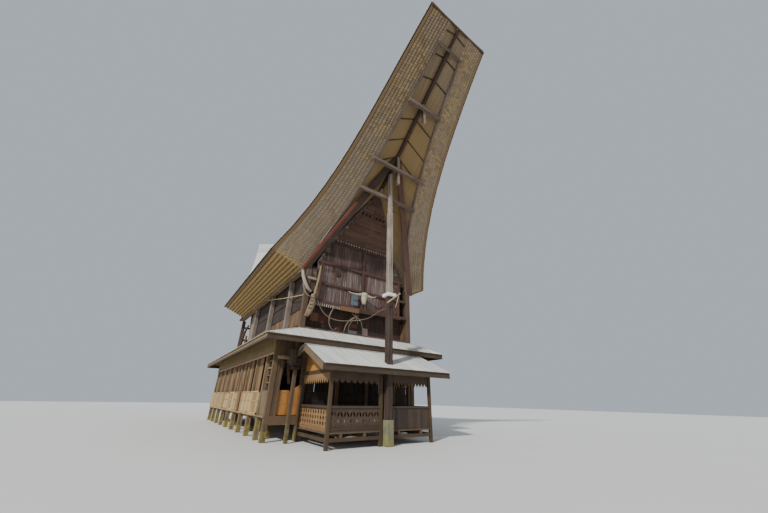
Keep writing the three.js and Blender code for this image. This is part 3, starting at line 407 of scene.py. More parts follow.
def shaded_sheet_edge():
    """Painted shade under the sheets' cut edges: dark brown in blotches."""
    made, tree, shader = new_finish("sheet edge, painted shade", 0.9)
    place = add(tree, "TexCoord", out="Object")
    spot = add(tree, "Mapping", {"Vector": place, "Scale": (5, 5, 5)})
    blotch = add(tree, "TexNoise", {"Vector": spot, "Scale": 1.0, "Detail": 4.0})
    tone = add(tree, "MapRange", {"Value": blotch, "From Min": 0.4, "From Max": 0.6})
    shade = add(tree, "Mix", {0: tone, 6: "#1b1716", 7: "#352a24"}, out=2, data_type="RGBA")
    tree.links.new(shade, shader.inputs["Base Color"])
    return made


def thin_metal(piece, thickness=0.003):
    """Gives a waved surface the thickness of its sheet."""
    thick = piece.modifiers.new("thickness", "SOLIDIFY")
    thick.thickness = thickness
    thick.offset = -1


def joined(whole, part):
    """Adds a part to a mesh and lets the part go."""
    kept = bpy.data.meshes.new("part")
    part.to_mesh(kept)
    part.free()
    whole.from_mesh(kept)
    bpy.data.meshes.remove(kept)


def sheet_stations(node):
    """Rows of ridge y and z, edge x, y and z of a roof half's metal, from the front tip to the rear one."""
    ridge, edge = {}, {}
    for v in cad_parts[node].data.vertices:
        at = round(v.co.y, 3)
        if abs(v.co.x) < 0.01:
            ridge[at] = max(ridge.get(at, 0), v.co.z)
        else:
            edge[at] = max(edge.get(at, (0, 0)), (round(abs(v.co.x), 4), v.co.z))
    return np.array([(y, ridge[y], edge[e][0], e, edge[e][1]) for y, e in zip(sorted(ridge), sorted(edge))])


roof_zinc = zinc_sheet("zinc-coated sheet, roof", "X")
shaded_lip = shaded_sheet_edge()

for side, sign in (("left", -1), ("right", 1)):
    stations = sheet_stations(f"roof_sheets_{side}")
    middle_x, middle_y = stations[:, 2] / 2, (stations[:, 0] + stations[:, 3]) / 2
    middle = np.stack([middle_x, middle_y, stations[:, [1, 4]].mean(1)], axis=1)
    line = walked(np.concatenate([middle, stations], axis=1), PITCH / 4)[:, 3:]
    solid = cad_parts[f"roof_sheets_{side}"].data
    under = BVHTree.FromPolygons([v.co for v in solid.vertices], [face.vertices for face in solid.polygons])
    metal = bmesh.new()
    for row in range(SHEET_ROWS):
        start, end = max(row / SHEET_ROWS - LAP, RIDGE_GAP), (row + 1) / SHEET_ROWS

        def sheet_spot(i, j):
            """A point of a waved sheet, i quarter waves along the roof and j bays down the slope."""
            ridge_y, ridge_z, edge_x, edge_y, edge_z = line[i]
            share = start + (end - start) * j / SHEET_BAYS
            x, y = sign * edge_x * share, ridge_y + (edge_y - ridge_y) * share
            # The ray falls just inside the outline, so that it still meets the solid along its edges.
            found = under.ray_cast(Vector((x * 0.9995, y * 0.9998, ABOVE)), Vector((0, 0, -1)))[0]
            z = found.z if found else ridge_z + (edge_z - ridge_z) * share
            lift = LAP_LIFT * (SHEET_ROWS - 1 - row)
            drop = WAVE * (0.5 - 0.5 * math.cos(i * math.pi / 2)) - lift + 0.002
            return Vector((x, max(-SHEET_END, min(SHEET_END, y)), min(z - drop, HIGHEST)))

        part = laid_sheet(len(line) - 1, SHEET_BAYS, sheet_spot)
        facing(part, 1)
        joined(metal, part)
    name, node = f"roof_corrugated_{side}", f"roof_sheets_{side}"
    thin_metal(set_piece(metal, name, roof_zinc, stands_for=[node]), 0.004)

    band_line = walked(roof_edge(f"roof_bamboo_{side}"), PITCH / 2)

    def lip_spot(i, j):
        """A point of the dark strip of painted shade under the sheets' edge, which goes in and out with their
        waves.
        """
        y, x, z = band_line[i][:3]
        y = max(-SHEET_END, min(SHEET_END, y))
        return Vector((sign * (x + j * LIP_REACH[i % 2]), y, z - LIP_DROP - LIP_DROP * j))

    lip = laid_sheet(len(band_line) - 1, 1, lip_spot)
    thin_metal(set_piece(lip, f"roof_sheet_lip_{side}", shaded_lip))

    def cap_spot(i, j):
        """A point of the ridge cap, i along the ridge, on it for j 0 and down the slope for j 1."""
        ridge_y, ridge_z, edge_x, edge_y, edge_z = line[i]
        share = CAP_REACH / edge_x * j
        z = min(ridge_z + (edge_z - ridge_z) * share + 0.006, HIGHEST)
        return Vector((sign * edge_x * share, ridge_y + (edge_y - ridge_y) * share, z))

    cap = laid_sheet(len(line) - 1, 1, cap_spot)
    facing(cap, 1)
    thin_metal(set_piece(cap, f"roof_ridge_cap_{side}", roof_zinc))


# Timbers of the prows
# Squared hardwood from the forest, adzed and left bare: purlins under the bamboo's inner edges, brown grey
# ties across, a dark round ridge pole with silver grey stubs hung from it, and thin dark battens that hold
# the bamboo up. Weather has rounded the arrises, and a board closes the tip.
ARRIS, BOARD_ARRIS = 0.008, 0.004
SHARP = math.radians(30)
GRAIN_SENSE = Vector((0.31, 0.52, 0.79))
BATTEN = 0.022
BATTEN_YS = [-11.30, -10.66, -10.02, -8.82, -8.20, -7.60]
SOFFIT_Y, SOFFIT_Z, SOFFIT_CLIMB = -7.57, 10.65, 0.905
POLE_END_YS = [-10.95, -11.2, -11.45]
POLE_DROP, POLE_HALF = 0.085, 0.055
LONG_FACE = 0.3


def grained(bm):
    """Lays a grain map on each face along its longest edge, and a tone map that is even over each board."""
    along = bm.loops.layers.uv.get("grain") or bm.loops.layers.uv.new("grain")
    tone = bm.loops.layers.uv.get("tone") or bm.loops.layers.uv.new("tone")
    number = bm.faces.layers.int.get("board") or bm.faces.layers.int.new("board")
    bm.normal_update()
    for face in bm.faces:
        longest = max(face.edges, key=lambda edge: edge.calc_length())
        run = (longest.verts[1].co - longest.verts[0].co).normalized()
        if run.dot(GRAIN_SENSE) < 0:
            run.negate()
        cross = face.normal.cross(run)
        own = random.Random(face[number])
        shift, shade = (own.uniform(0, 40), own.uniform(0, 40)), (own.random(), own.random())
        for loop in face.loops:
            loop[along].uv = (loop.vert.co.dot(run) + shift[0], loop.vert.co.dot(cross) + shift[1])
            loop[tone].uv = shade


def rounded(bm, width):
    """Rounds every sharp edge."""
    bm.normal_update()
    sharp = [e for e in bm.edges if len(e.link_faces) == 2 and e.calc_face_angle(0) > SHARP]
    bmesh.ops.bevel(
        bm, geom=sharp, offset=width, affect="EDGES", segments=1, profile=0.5, material=-1, clamp_overlap=True
    )


def anew(bm):
    """The same mesh copied, so that what is added to it next comes in the same order in every run."""
    copied = bm.copy()
    bm.free()
    return copied


def worn_copy(node, width=ARRIS):
    """A solid part's own shape, with its arrises worn round."""
    bm = bmesh.new()
    bm.from_mesh(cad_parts[node].data)
    bmesh.ops.remove_doubles(bm, verts=bm.verts, dist=1e-5)
    bmesh.ops.dissolve_limit(bm, angle_limit=0.02, verts=bm.verts, edges=bm.edges)
    if width:
        rounded(bm, width)
    return anew(bm)


def board(bm, low, high, number=0, turn=None):
    """Adds a squared board from its lowest to its highest corner; turn moves it after."""
    low, high = Vector(low), Vector(high)
    place = Matrix.Translation((low + high) / 2) @ Matrix.Diagonal((*(high - low), 1))
    made = bmesh.ops.create_cube(bm, size=1.0, matrix=turn @ place if turn else place)
    layer = bm.faces.layers.int.get("board") or bm.faces.layers.int.new("board")
    for face in {f for v in made["verts"] for f in v.link_faces}:
        face[layer] = number


def rod(bm, points, radii, sides=8, number=0):
    """Adds a round rod through the points, with the radius given at each."""
    layer = bm.faces.layers.int.get("board") or bm.faces.layers.int.new("board")
    points = [Vector(p) for p in points]
    rings = []
    before = set(bm.faces)
    for i, (point, radius) in enumerate(zip(points, radii)):
        run = (points[min(i + 1, len(points) - 1)] - points[max(i - 1, 0)]).normalized()
        place = Matrix.Translation(point) @ run.to_track_quat("Z", "Y").to_matrix().to_4x4()
        capped = i in (0, len(points) - 1)
        made = bmesh.ops.create_circle(bm, cap_ends=capped, segments=sides, radius=radius, matrix=place)
        ring = made["verts"]
        rings.append([e for e in {e for v in ring for e in v.link_edges} if all(v in ring for v in e.verts)])
    for one, two in zip(rings, rings[1:]):
        bmesh.ops.bridge_loops(bm, edges=one + two)
    made = [face for face in bm.faces if face not in before]
    bmesh.ops.recalc_face_normals(bm, faces=made)
    for face in made:
        face[layer] = number
        face.smooth = len(face.verts) == 4


def bare_wood(
    name, young, old, deep, grain_mm=9, moss_to=0.0, moss="#6f7440", paint=None, keep=0.5, rough=0.86,
    varied=1.0, streak_tone=None,
):
    """Bare or once painted hardwood: grain along each board, boards of their own tone, cracks and moss."""
    made, tree, shader = new_finish(name, rough)
    paper = add(tree, "UVMap", uv_map="grain")
    scale = 1000 / grain_mm
    fine_map = add(tree, "Mapping", {"Vector": paper, "Scale": (scale / 28, scale, 1)})
    fine = add(tree, "TexNoise", {"Vector": fine_map, "Scale": 1.0, "Detail": 5.0, "Roughness": 0.6})
    crack_map = add(tree, "Mapping", {"Vector": paper, "Scale": (0.9, 26, 1)})
    crack = add(tree, "TexNoise", {"Vector": crack_map, "Scale": 1.0, "Detail": 4.0, "Distortion": 0.3})
    place = add(tree, "TexCoord", out="Object")
    spot = add(tree, "Mapping", {"Vector": place, "Scale": (1, 1, 1)})
    cloud = add(tree, "TexNoise", {"Vector": spot, "Scale": 1.7, "Detail": 5.0, "Roughness": 0.6})
    shades = add(tree, "UVMap", uv_map="tone")
    own = add(tree, "SeparateXYZ", {"Vector": shades}).node.outputs
    streak = add(tree, "MapRange", {"Value": fine, "From Min": 0.3, "From Max": 0.7})
    grain = add(tree, "Mix", {0: streak, 6: deep, 7: young}, out=2, data_type="RGBA")
    shared = add(tree, "Math", {0: own["X"], 1: varied, 2: 0.5 - 0.5 * varied}, operation="MULTIPLY_ADD")
    weather = add(tree, "Math", {0: cloud, 1: shared}, operation="ADD")
    bleached = add(tree, "MapRange", {"Value": weather, "From Min": 0.6, "From Max": 1.5, "To Max": 0.9})
    aged = add(tree, "Mix", {0: bleached, 6: grain, 7: old}, out=2, data_type="RGBA")
    split = add(tree, "MapRange", {"Value": crack, "From Min": 0.38, "From Max": 0.27, "To Max": 0.8})
    last = add(tree, "Mix", {0: split, 6: aged, 7: "#2a1d14"}, out=2, data_type="RGBA")
    if streak_tone:
        bare = add(tree, "MapRange", {"Value": crack, "From Min": 0.54, "From Max": 0.68, "To Max": 0.75})
        last = add(tree, "Mix", {0: bare, 6: last, 7: streak_tone}, out=2, data_type="RGBA")
    if paint:
        flake_map = add(tree, "Mapping", {"Vector": paper, "Scale": (5, 16, 1)})
        flake = add(tree, "TexNoise", {"Vector": flake_map, "Scale": 1.0, "Detail": 6.0})
        held = add(tree, "Math", {0: flake, 1: own["Y"]}, operation="ADD")
        left = add(tree, "MapRange", {"Value": held, "From Min": 1.25 - keep, "From Max": 1.05 - keep})
        stays = add(tree, "Math", {0: 1.0, 1: left}, operation="SUBTRACT")
        last = add(tree, "Mix", {0: stays, 6: last, 7: paint}, out=2, data_type="RGBA")
    if moss_to:
        height = add(tree, "SeparateXYZ", {"Vector": spot}).node.outputs["Z"]
        patch = add(tree, "TexNoise", {"Vector": spot, "Scale": 7.0, "Detail": 5.0})
        reach = add(tree, "MapRange", {"Value": height, "From Max": moss_to, "To Min": 0.32, "To Max": 0.8})
        spread = add(tree, "Math", {0: patch, 1: reach}, operation="SUBTRACT")
        cover = add(tree, "MapRange", {"Value": spread, "From Max": 0.16, "To Max": 0.85})
        last = add(tree, "Mix", {0: cover, 6: last, 7: moss}, out=2, data_type="RGBA")
    relief = add(tree, "Math", {0: fine, 1: split}, operation="SUBTRACT")
    bump = add(tree, "Bump", {"Height": relief, "Strength": 0.5, "Distance": 0.004})
    tree.links.new(last, shader.inputs["Base Color"])
    tree.links.new(bump, shader.inputs["Normal"])
    return made


# Adzed hardwood gone silver grey, with brown left in the grain, and browner on the ties.
grey_wood = bare_wood("hardwood, silver grey", "#7d6a58", "#9a8c7d", "#4f3f33")
tie_wood = bare_wood("hardwood, weathered brown grey", "#5f4f44", "#7d6e63", "#33271f", streak_tone="#8d8076")
# The sheltered undersides keep their brown.
brown_wood = bare_wood("hardwood, sheltered brown", "#5c4632", "#6f5d4a", "#35281e")
pole_wood = bare_wood("round pole and battens, dark", "#3d2a1e", "#4f3a2b", "#22160f")


def front_and_rear(bm, name, finishes, nodes=()):
    """Sets a front piece and its mirror at the rear, each in place of its own solid parts."""
    rear = bm.copy()
    bmesh.ops.scale(rear, vec=(1, -1, 1), verts=rear.verts)
    bmesh.ops.reverse_faces(rear, faces=rear.faces)
    for end, mesh in (("front", bm), ("rear", rear)):
        grained(mesh)
        set_piece(mesh, f"{end}_{name}", finishes, stands_for=[f"{end}_{node}" for node in nodes])


def soffit_height(y):
    """Height of the soffit's middle line under the front prow."""
    return SOFFIT_Z + SOFFIT_CLIMB * (SOFFIT_Y - y)


prow = worn_copy("front_prow_frame")
edge_left = roof_edge("roof_bamboo_left")
for count, y in enumerate(BATTEN_YS):
    edge_x, edge_z = (np.interp(y, edge_left[:, 0], edge_left[:, c]) for c in (3, 4))
    for sign in (-1, 1):
        foot, head = Vector((sign * edge_x, y, edge_z)), Vector((0, y, soffit_height(y)))
        drop = Vector((0, 0, -BATTEN))
        rod(prow, [foot + drop, foot.lerp(head, 0.5) + drop, head + drop], [BATTEN] * 3, 6, count + 1)
last_of_pole = [(0, y, soffit_height(y) - POLE_DROP) for y in POLE_END_YS]
rod(prow, last_of_pole, [POLE_HALF] * 3, 8, len(BATTEN_YS) + 1)
layer = prow.faces.layers.int["board"]
for face in prow.faces:
    face_ys = [v.co.y for v in face.verts]
    central = max(abs(v.co.x) for v in face.verts) < 0.1
    # Near the middle line, long faces are the ridge pole's and short ones its stubs'.
    if face[layer] > 0 or central and max(face_ys) - min(face_ys) > LONG_FACE:
        face.material_index = 1
    elif central:
        face.material_index = 2
front_and_rear(prow, "prow_timbers", [tie_wood, pole_wood, grey_wood], ["prow_frame"])
tip = bmesh.new()
board(tip, (-1.44, -11.535, 13.98), (1.44, -11.497, 14.10), 1)
rounded(tip, BOARD_ARRIS)
front_and_rear(tip, "tip_board", pole_wood)


# Long posts, sills and wall plates
# Ten squared hardwood posts, 180 mm thick but for thinner feet at the front corners, run from the ground to
# the plates and carry the room between them. They are green at the foot, and the sill is let into their
# inner side. Above the skirt roof they are bleached pale, but not at the corners under the prows.
SHELTER_Z, CORNER_Y = 3.05, 5.15
pale_post = bare_wood("hardwood posts, bleached", "#75655a", "#958a80", "#453930")
sheltered_post = bare_wood(
    "hardwood, sheltered posts", "#54412f", "#6a5642", "#30241a", moss_to=1.1, moss="#66692c"
)
plate_wood = bare_wood("wall plates, golden brown", "#7d6038", "#93784c", "#46301a")


def scored(bm, at, across):
    """Cuts each face that a plane meets, so that a finish can end there."""
    everything = bm.verts[:] + bm.edges[:] + bm.faces[:]
    bmesh.ops.bisect_plane(bm, geom=everything, plane_co=at, plane_no=across)


def choose_finish(bm, second):
    """Gives a face the piece's second finish where the rule holds for the face and its middle."""
    for face in bm.faces:
        face.material_index = int(second(face, face.calc_center_median()))


def dressed(node, name, finish, width):
    """Sets a solid part's own shape, worn at its arrises, in the part's place."""
    bm = worn_copy(node, width)
    grained(bm)
    set_piece(bm, name, finish, stands_for=[node])


def finish_boards(bm, name, finish, nodes=()):
    """Rounds the boards' edges, maps their grain and sets them as one piece."""
    rounded(bm, BOARD_ARRIS)
    grained(bm)
    set_piece(bm, name, finish, stands_for=nodes)


for side, sign in (("left", -1), ("right", 1)):
    row = worn_copy(f"post_row_{side}", 0.012)
    scored(row, (0, 0, SHELTER_Z), (0, 0, 1))
    choose_finish(row, lambda face, spot: spot.z < SHELTER_Z or abs(spot.y) > CORNER_Y)
    grained(row)
    finishes, node = [pale_post, sheltered_post], f"post_row_{side}"
    set_piece(row, f"{node}_timber", finishes, stands_for=[node])
    node = f"wall_plate_{side}"
    dressed(node, f"{node}_timber", plate_wood, 0.012)
    low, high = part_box(node)
    outer = low.x if sign < 0 else high.x
    xs = sorted((outer + sign * 0.004, outer + sign * 0.05))
    strip = bmesh.new()
    board(strip, (xs[0], low.y, low.z - 0.012), (xs[1], high.y, low.z + 0.045), 3)
    finish_boards(strip, f"{node}_batten", pale_post)


# Room walls and floor
# The upper room is closed with upright hardwood boards, 200 to 280 mm wide and 35 mm thick, butted edge to
# edge between the posts: dark above, golden brown in the low row, and a pale panel in the last bay of each
# side. Curved braces stiffen the open bay behind it, and a bamboo pole is tied along the left side.
GAP = 0.006
NARROWEST = 0.08
SET_BACK = 0.008
POLE = 0.028
POLE_YS = (-5.3, -4.2, -3.1, -2, -0.9, 0.2)
LAST_BAY = 1.99
LOW_ROW_TOP = 4.15
BATTEN_XS, BATTEN_ZS = (2.262, 2.285), (3.52, LOW_ROW_TOP, 4.72)
BRACE_X = 2.34
board_wood = bare_wood(
    "wall boards, brown", "#2b1f18", "#3d3026", "#150e0a", varied=0.7, streak_tone="#635040"
)
# The end walls under the gables are darkened with painted shade.
shaded_end_boards = bare_wood(
    "end wall boards, painted shade", "#2b201c", "#43352e", "#140e0c", paint="#47291f", keep=-0.1, varied=0.4,
    streak_tone="#54443b",
)
golden_board = bare_wood("wall boards, golden brown", "#5f4428", "#735a3f", "#2c1d14", streak_tone="#8f7350")
pale_panel = bare_wood("end panel, pale tan", "#8c7658", "#a8977c", "#5a4632")
pale_bamboo = bare_wood("bamboo pole, dried", "#b39f74", "#c4b692", "#8d7a52", rough=0.6)


def upright_boards(bm, start, end, seed, place, widest=0.28):
    """Fills a run with upright boards of uneven width; place puts each one from its start to its end."""
    own = random.Random(seed)
    at, number = start, seed * 100
    while at < end - 0.02:
        width = min(own.uniform(0.7, 1.0) * widest, end - at)
        if end - at - width < NARROWEST:
            width = end - at
        number += 1
        place(bm, at + GAP / 2, at + width - GAP / 2, number, own)
        at += width


for number, (side, sign) in enumerate((("left", -1), ("right", 1))):
    low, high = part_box(f"room_wall_{side}")
    wall = bmesh.new()

    def side_board(bm, y0, y1, index, own):
        """A board of the side wall: one length in the last bay, and a low and a high one elsewhere."""
        set_back = own.uniform(0, SET_BACK)
        if y0 > LAST_BAY:
            board(bm, (low.x + set_back, y0, low.z), (high.x - set_back, y1, high.z), 3 * index + 2)
            return
        top = LOW_ROW_TOP + own.uniform(0, 0.05)
        board(bm, (low.x + set_back, y0, low.z), (high.x - set_back, y1, top), 3 * index + 1)
        set_back += 0.006
        board(bm, (low.x + set_back, y0, top), (high.x - set_back, y1, high.z), 3 * index)

    upright_boards(wall, low.y, LAST_BAY, 11 + number, side_board)
    upright_boards(wall, LAST_BAY + 0.001, high.y, 15 + number, side_board, 0.4)
    xs = sorted(sign * x for x in BATTEN_XS)
    for z in BATTEN_ZS:
        board(wall, (xs[0], low.y + 0.02, z), (xs[1], LAST_BAY, z + 0.05), 3 * int(z * 10))
    layer = wall.faces.layers.int["board"]
    for face in wall.faces:
        face.material_index = face[layer] % 3
    finishes = [board_wood, golden_board, pale_panel]
    finish_boards(wall, f"room_boards_{side}", finishes, [f"room_wall_{side}"])
    brace = bmesh.new()
    arc = [(4.98, 3.50), (4.86, 3.95), (4.62, 4.42), (4.26, 4.78), (3.72, 4.98)]
    strut = [(3.66, 3.50), (3.72, 3.9), (3.66, 4.4)]
    rod(brace, [(sign * BRACE_X, y, z) for y, z in arc], [0.06, 0.065, 0.065, 0.06, 0.055], 8, 2)
    rod(brace, [(sign * BRACE_X, y, z) for y, z in strut], [0.05, 0.06, 0.05], 8, 4)
    grained(brace)
    set_piece(brace, f"rear_bay_braces_{side}", brown_wood)
for number, end in enumerate(("front", "rear")):
    low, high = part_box(f"room_wall_{end}")
    wall = bmesh.new()

    def end_board(bm, x0, x1, index, own):
        """A board of the end wall, from the room's floor to its top."""
        set_back = own.uniform(0, SET_BACK)
        board(bm, (x0, low.y + set_back, low.z), (x1, high.y - set_back, high.z), index)

    upright_boards(wall, low.x, high.x, 21 + number, end_board)
    finish_boards(wall, f"room_boards_{end}", shaded_end_boards, [f"room_wall_{end}"])

low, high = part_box("room_floor")
floor_boards = bmesh.new()


def floor_board(bm, x0, x1, index, own):
    """A floor board from the front to the rear of the room."""
    board(bm, (x0, low.y, low.z), (x1, high.y, high.z), index)


upright_boards(floor_boards, low.x, high.x, 31, floor_board)
finish_boards(floor_boards, "room_floor_boards", brown_wood, ["room_floor"])

pole = bmesh.new()
pole_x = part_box("post_row_left")[0].x - POLE * 0.6
# It climbs towards the rear and sags a little between its ties.
pole_line = [(pole_x, y, 5.556 + 0.216 * (y + 0.16) + 0.05 * ((y + 1.7) / 3.6) ** 2) for y in POLE_YS]
rod(pole, pole_line, [POLE * 0.6] * len(POLE_YS))
grained(pole)
set_piece(pole, "wall_pole_left", pale_bamboo)


# Gable fronts
# Upright carved boards stand in three rows between toothed ledges and rails, the top row darkened by painted
# shade, and a leaning triangle of wide boards closes the gable above them, with two groups of three round
# holes drawn as dark discs of painted shade. Red and black paint is nearly worn away.
GABLE_FRONT = -5.2
BOARD_PROUD = 0.02
ROWS = [(4.43, 5.07), (5.17, 5.92), (6.04, 6.97)]
# The leaning line that cuts the outer boards of the top row off, from its foot to its head.
CUT_XS, CUT_ZS = (2.03, 1.56), (5.96, 7.05)
TRIANGLE_FOOT = 7.05
LEAN = math.atan(0.43)
PANEL_HEIGHTS = [0.34, 0.3, 0.32, 0.3, 0.18, 0.3, 0.28, 0.26, 0.24]
VENT_XS = (-0.52, -0.34, -0.15, 0.20, 0.39, 0.58)
VENT_RADIUS, VENT_HEIGHT = 0.062, 1.545
gable_wood = bare_wood(
    "gable boards, worn", "#584640", "#715e57", "#2e1f1a", paint="#50302a", keep=-0.15, varied=0.8,
    streak_tone="#a3978f",
)
shaded_gable_wood = bare_wood(
    "gable boards, painted shade", "#3f2d27", "#513d35", "#22150f", varied=0.8, streak_tone="#75645c"
)
triangle_wood = bare_wood(
    "gable triangle, dark brown", "#4f362a", "#62493a", "#2a1914", paint="#53302a", keep=-0.25, varied=0.4,
    streak_tone="#6f5c4d",
)
rail_wood = bare_wood(
    "gable rails, reddish brown", "#4a3027", "#604539", "#271610", paint="#552e24", keep=-0.05, varied=0.4
)
tooth_wood = bare_wood("carved teeth, pale", "#8f8477", "#a89d90", "#695e52")
ledge_wood = bare_wood("ledge board, orange brown", "#684733", "#7d5c41", "#3a2519")
vent_shade = bare_wood("vent holes, painted shade", "#120c08", "#0c0806", "#060403")

planks = bmesh.new()
for row, (z0, z1) in enumerate(ROWS):
    for sign in (-1, 1):

        def gable_board(bm, x0, x1, index, own):
            """A board of the gable, cut off at the top where it meets the leaning barge board."""
            share = (CUT_XS[0] - x1) / (CUT_XS[0] - CUT_XS[1])
            reach = z1 if row < 2 else min(z1, CUT_ZS[0] + share * (CUT_ZS[1] - CUT_ZS[0]))
            proud = own.uniform(0.4, 1.0) * BOARD_PROUD
            xs = sorted((sign * x0, sign * x1))
            board(bm, (xs[0], GABLE_FRONT - proud, z0), (xs[1], GABLE_FRONT, reach), index)

        seed = 40 + row * 2 + (sign > 0)
        upright_boards(planks, 0.05, 1.82 if row < 2 else 1.9, seed, gable_board, 0.26)
# The top row, under the roof, is in painted shade.
choose_finish(planks, lambda face, spot: spot.z > ROWS[1][1])
rounded(planks, BOARD_ARRIS)
front_and_rear(planks, "gable_boards", [gable_wood, shaded_gable_wood])

rails = worn_copy("front_gable_rails", 0.01)
for face in rails.faces:
    face_zs = [v.co.z for v in face.verts]
    central = max(abs(v.co.x) for v in face.verts) < 0.09
    # Long upright faces at the middle are the dark stud's.
    face.material_index = int(central and max(face_zs) - min(face_zs) > LONG_FACE)
rail_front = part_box("front_gable_rails")[0].y
front_and_rear(rails, "gable_rail_timbers", [rail_wood, pole_wood], ["gable_rails"])

teeth = bmesh.new()
for x0, x1, z0, z1, tooth in ((-2.0, -0.97, 4.22, 4.325, 0.085), (-1.38, 1.38, 6.97, 7.10, 0.125)):
    count = int((x1 - x0) / tooth)
    for i in range(count):
        x = x0 + (i + 0.25) * (x1 - x0) / count
        board(teeth, (x, rail_front, z0), (x + tooth * 0.45, rail_front + 0.05, z1), i % 7)
front_and_rear(teeth, "gable_teeth", tooth_wood)
mended = bmesh.new()
board(mended, (-0.97, -5.335, 4.20), (-0.14, -5.30, 4.37), 1)
board(mended, (-0.12, -5.33, 4.23), (0.62, -5.29, 4.36), 4)
board(mended, (0.60, -5.325, 4.26), (1.95, -5.29, 4.34), 6)
layer = mended.faces.layers.int["board"]
choose_finish(mended, lambda face, spot: face[layer] > 1)
rounded(mended, 0.012)
front_and_rear(mended, "ledge_boards", [ledge_wood, pole_wood])
knob = bmesh.new()
rod(knob, [(-1.15, y, 5.64) for y in (-5.19, -5.235, -5.245)], [0.12, 0.12, 0.09], 20)
grained(knob)
set_piece(knob, "gable_round_boss", pole_wood)

leaning = Matrix.Translation((0, GABLE_FRONT, TRIANGLE_FOOT)) @ Matrix.Rotation(LEAN, 4, "X")
triangle = bmesh.new()
slant = 0.03
for index, height in enumerate(PANEL_HEIGHTS):
    z_top = (slant + height) * math.cos(LEAN) + TRIANGLE_FOOT
    half = max(0.08, np.interp(z_top, [TRIANGLE_FOOT, 8.0, 9.0, 9.56], [1.5, 0.95, 0.36, 0.02]))
    proud = 0.02 + 0.004 * (index % 2)
    for sign in (-1, 1):
        xs = sorted((0, sign * half))
        number = 60 + index * 2 + (sign > 0)
        board(triangle, (xs[0], -proud, slant), (xs[1], 0, slant + height - GAP), number, leaning)
    slant += height
rounded(triangle, BOARD_ARRIS)
front_and_rear(triangle, "gable_triangle_boards", triangle_wood)

# Dark discs of painted shade stand for the vent holes.
vents = bmesh.new()
for x in VENT_XS:
    facing_out = Matrix.Translation((x, -0.026, VENT_HEIGHT)) @ Matrix.Rotation(math.pi / 2, 4, "X")
    bmesh.ops.create_cone(
        vents,
        cap_ends=True,
        segments=14,
        radius1=VENT_RADIUS,
        radius2=VENT_RADIUS - 0.005,
        depth=0.008,
        matrix=leaning @ facing_out,
    )
front_and_rear(vents, "gable_vents", vent_shade)
for end in ("front", "rear"):
    dressed(f"{end}_gable_wall", f"{end}_gable_backing", gable_wood, 0.004)


# Barge boards
# Two broad planks lean from the corner posts up to the ridge pole, just under the bamboo. The left one is
# dark brown, deepened with painted shade, with red paint left along the lower part of its upper edge, and the
# right one is a bare reddish brown.
BARGE_FOOT = Vector((2.52, -5.25, 5.519))
BARGE_RUN = Vector((2.52, -2.389, 5.131)).normalized()
BARGE_HALF = 0.135
PAINTED, PAINT_TOP = 0.09, 8.3
red_edge = bare_wood(
    "barge board, red edge", "#6e3325", "#8a4a34", "#3a1a13", paint="#85392a", keep=0.2, varied=0.3
)
dark_shaded_barge = bare_wood("barge board, dark brown with painted shade", "#3d2b22", "#4c392e", "#21150f", varied=0.4)
rosy_barge = bare_wood(
    "barge board, reddish brown", "#5a4035", "#76594c", "#2f1e17", paint="#65382a", keep=0.25
)
barge_up = Vector((0, -1, -0.4656)).cross(BARGE_RUN).normalized()
if barge_up.z < 0:
    barge_up.negate()
for side, sign, finishes, slot in (
    ("left", 1, [dark_shaded_barge, red_edge], "red_timber"),
    ("right", -1, [rosy_barge] * 2, "grey_timber"),
):
    plank = worn_copy(f"front_barge_board_{side}", 0.006)
    across = Vector((sign * barge_up.x, barge_up.y, barge_up.z))
    paint_line = Vector((-sign * BARGE_FOOT.x, BARGE_FOOT.y, BARGE_FOOT.z)) + across * (BARGE_HALF - PAINTED)
    scored(plank, paint_line, across)
    scored(plank, (0, 0, PAINT_TOP), (0, 0, 1))
    # Outside the red strip, the left plank's dark brown carries painted shade.
    choose_finish(plank, lambda face, spot: (spot - paint_line).dot(across) > 0 and spot.z < PAINT_TOP)
    front_and_rear(plank, f"barge_plank_{side}", finishes, [f"barge_board_{side}"])


# Prop posts and plinths
# Each prow rests on a free-standing post of two spliced lengths: dark and oiled up to the square collar,
# bare grey above it. It stands on a cast concrete plinth with chamfered arrises, grey and green with moss.
SPLICE_BANDS, BAND_HALF = (8.12, 8.22, 8.40), 0.078
dark_wood = bare_wood("prop post, dark", "#372920", "#49392d", "#1e140f", streak_tone="#5e4d40")
collar_wood = bare_wood("collar, pale and dusty", "#ebe5dc", "#f6f2eb", "#b9b0a5")
prop_grey = bare_wood(
    "prop post, bleached and cracked", "#8a7a6b", "#a89c8e", "#4f3f33", streak_tone="#cfc7bc"
)
front_and_rear(worn_copy("front_prop_post", 0.014), "prop_timber", dark_wood, ["prop_post"])
collar = worn_copy("front_prop_collar", 0.01)
front_and_rear(collar, "prop_collar_block", collar_wood, ["prop_collar"])
spliced = worn_copy("front_prop_upper", 0.012)
prop_y = sum(v.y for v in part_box("front_prop_upper")) / 2
for z in SPLICE_BANDS:
    board(spliced, (-BAND_HALF, prop_y - BAND_HALF, z), (BAND_HALF, prop_y + BAND_HALF, z + 0.035), 5)
front_and_rear(spliced, "prop_upper_timber", prop_grey, ["prop_upper"])


